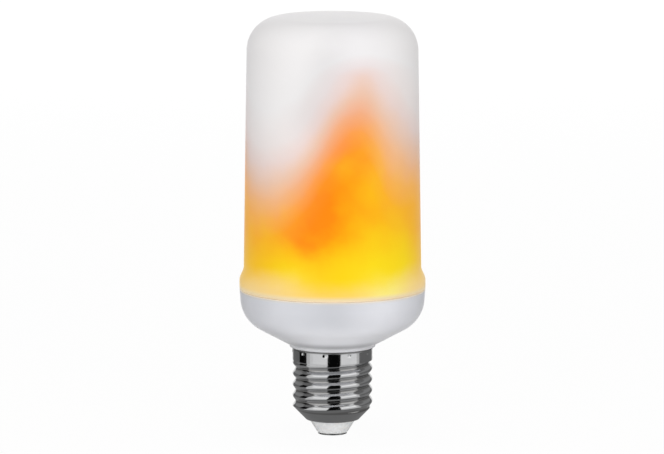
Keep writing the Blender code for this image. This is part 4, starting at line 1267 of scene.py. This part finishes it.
def bare_tree(holder):
    """The emptied node tree of a new material or world."""
    holder.use_nodes = True
    holder.node_tree.nodes.clear()
    return Tree(holder.node_tree)


def white_light(tree, kind, level):
    return tree.out(kind, {"Color": (1.0, 1.0, 1.0, 1.0), "Strength": level})


def add_stage_piece(name, vertices, faces, material):
    mesh = bpy.data.meshes.new(name)
    mesh.from_pydata(vertices, [], faces)
    mesh.materials.append(material)
    return add_piece(name, mesh)


def make_floor():
    """Pale floor that reads as white and keeps the bulb's soft shadow."""
    material = bpy.data.materials.new("pale_floor")
    tree = bare_tree(material)
    matt = tree.out("ShaderNodeBsdfDiffuse", {"Color": ink(250, 250, 250)})
    white = white_light(tree, "ShaderNodeEmission", 1.0)
    share = shown_to_mirrors(tree) * FLOOR_WHITE
    mixed = tree.out("ShaderNodeMixShader", {0: share, 1: matt, 2: white})
    tree.node("ShaderNodeOutputMaterial", {"Surface": mixed})
    signs = ((-1, -1), (1, -1), (1, 1), (-1, 1))
    corners = [(x * FLOOR_REACH, y * FLOOR_REACH, 0.0) for x, y in signs]
    add_stage_piece("pale_floor", corners, [(0, 1, 2, 3)], material)


def make_card(name, level, azimuths, profile):
    """A studio card of one level, seen only in the plating. It sweeps a profile between two azimuths."""
    material = bpy.data.materials.new(name)
    tree = bare_tree(material)
    glow = white_light(tree, "ShaderNodeEmission", level)
    tree.node("ShaderNodeOutputMaterial", {"Surface": glow})
    start, end = azimuths
    steps = round((end - start) / CARD_STEP)
    vertices = []
    for i in range(steps + 1):
        turn = math.radians(start + (end - start) * i / steps)
        vertices += [(out * math.sin(turn), -out * math.cos(turn), height) for out, height in profile]
    faces = []
    across = len(profile)
    for first in range(0, steps * across, across):
        for i in range(first, first + across - 1):
            faces.append((i, i + across, i + across + 1, i + 1))
    card = add_stage_piece(name, vertices, faces, material)
    card.visible_camera = False
    card.visible_diffuse = False
    card.visible_transmission = False
    card.visible_volume_scatter = False
    card.visible_shadow = False


def make_world():
    """White to the eye and to mirrors, and an even soft light on everything else."""
    world = bpy.data.worlds.new("studio")
    tree = bare_tree(world)
    soft = white_light(tree, "ShaderNodeBackground", WORLD_LEVEL)
    seen = white_light(tree, "ShaderNodeBackground", 1.0)
    mixed = tree.out("ShaderNodeMixShader", {0: shown_to_mirrors(tree), 1: soft, 2: seen})
    tree.node("ShaderNodeOutputWorld", {"Surface": mixed})
    bpy.context.scene.world = world


def make_lamp(name, place, size, power):
    light = bpy.data.lights.new(name, "AREA")
    light.shape = "SQUARE"
    light.size = size
    light.energy = power
    lamp = add_piece(name, light)
    lamp.location = place
    aim = Vector(CAMERA_AIM) - Vector(place)
    lamp.rotation_euler = aim.to_track_quat("-Z", "Y").to_euler()
    lamp.visible_glossy = False


def make_camera():
    data = bpy.data.cameras.new("camera")
    data.lens = LENS
    data.sensor_width = SENSOR
    distance = PICTURE_WIDTH * LENS / (SENSOR * PIXELS_PER_METRE)
    data.clip_end = 50.0
    camera = add_piece("camera", data)
    back = Vector((0.0, -math.cos(CAMERA_RISE), math.sin(CAMERA_RISE)))
    camera.location = Vector(CAMERA_AIM) + back * distance
    camera.rotation_euler = (-back).to_track_quat("-Z", "Y").to_euler()
    bpy.context.scene.camera = camera


def make_stage():
    make_world()
    make_floor()
    for name, (place, size, power) in LAMPS.items():
        make_lamp(name, place, size, power)
    for card in CARDS:
        make_card(*card)
    make_camera()
    bpy.context.scene.view_settings.view_transform = "Standard"


def main():
    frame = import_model()
    make_globe()
    make_housing()
    make_cap(nickel_plate())
    make_lit_boards(lit_phosphor())
    dress_inner_nodes(frame)
    make_stage()


main()
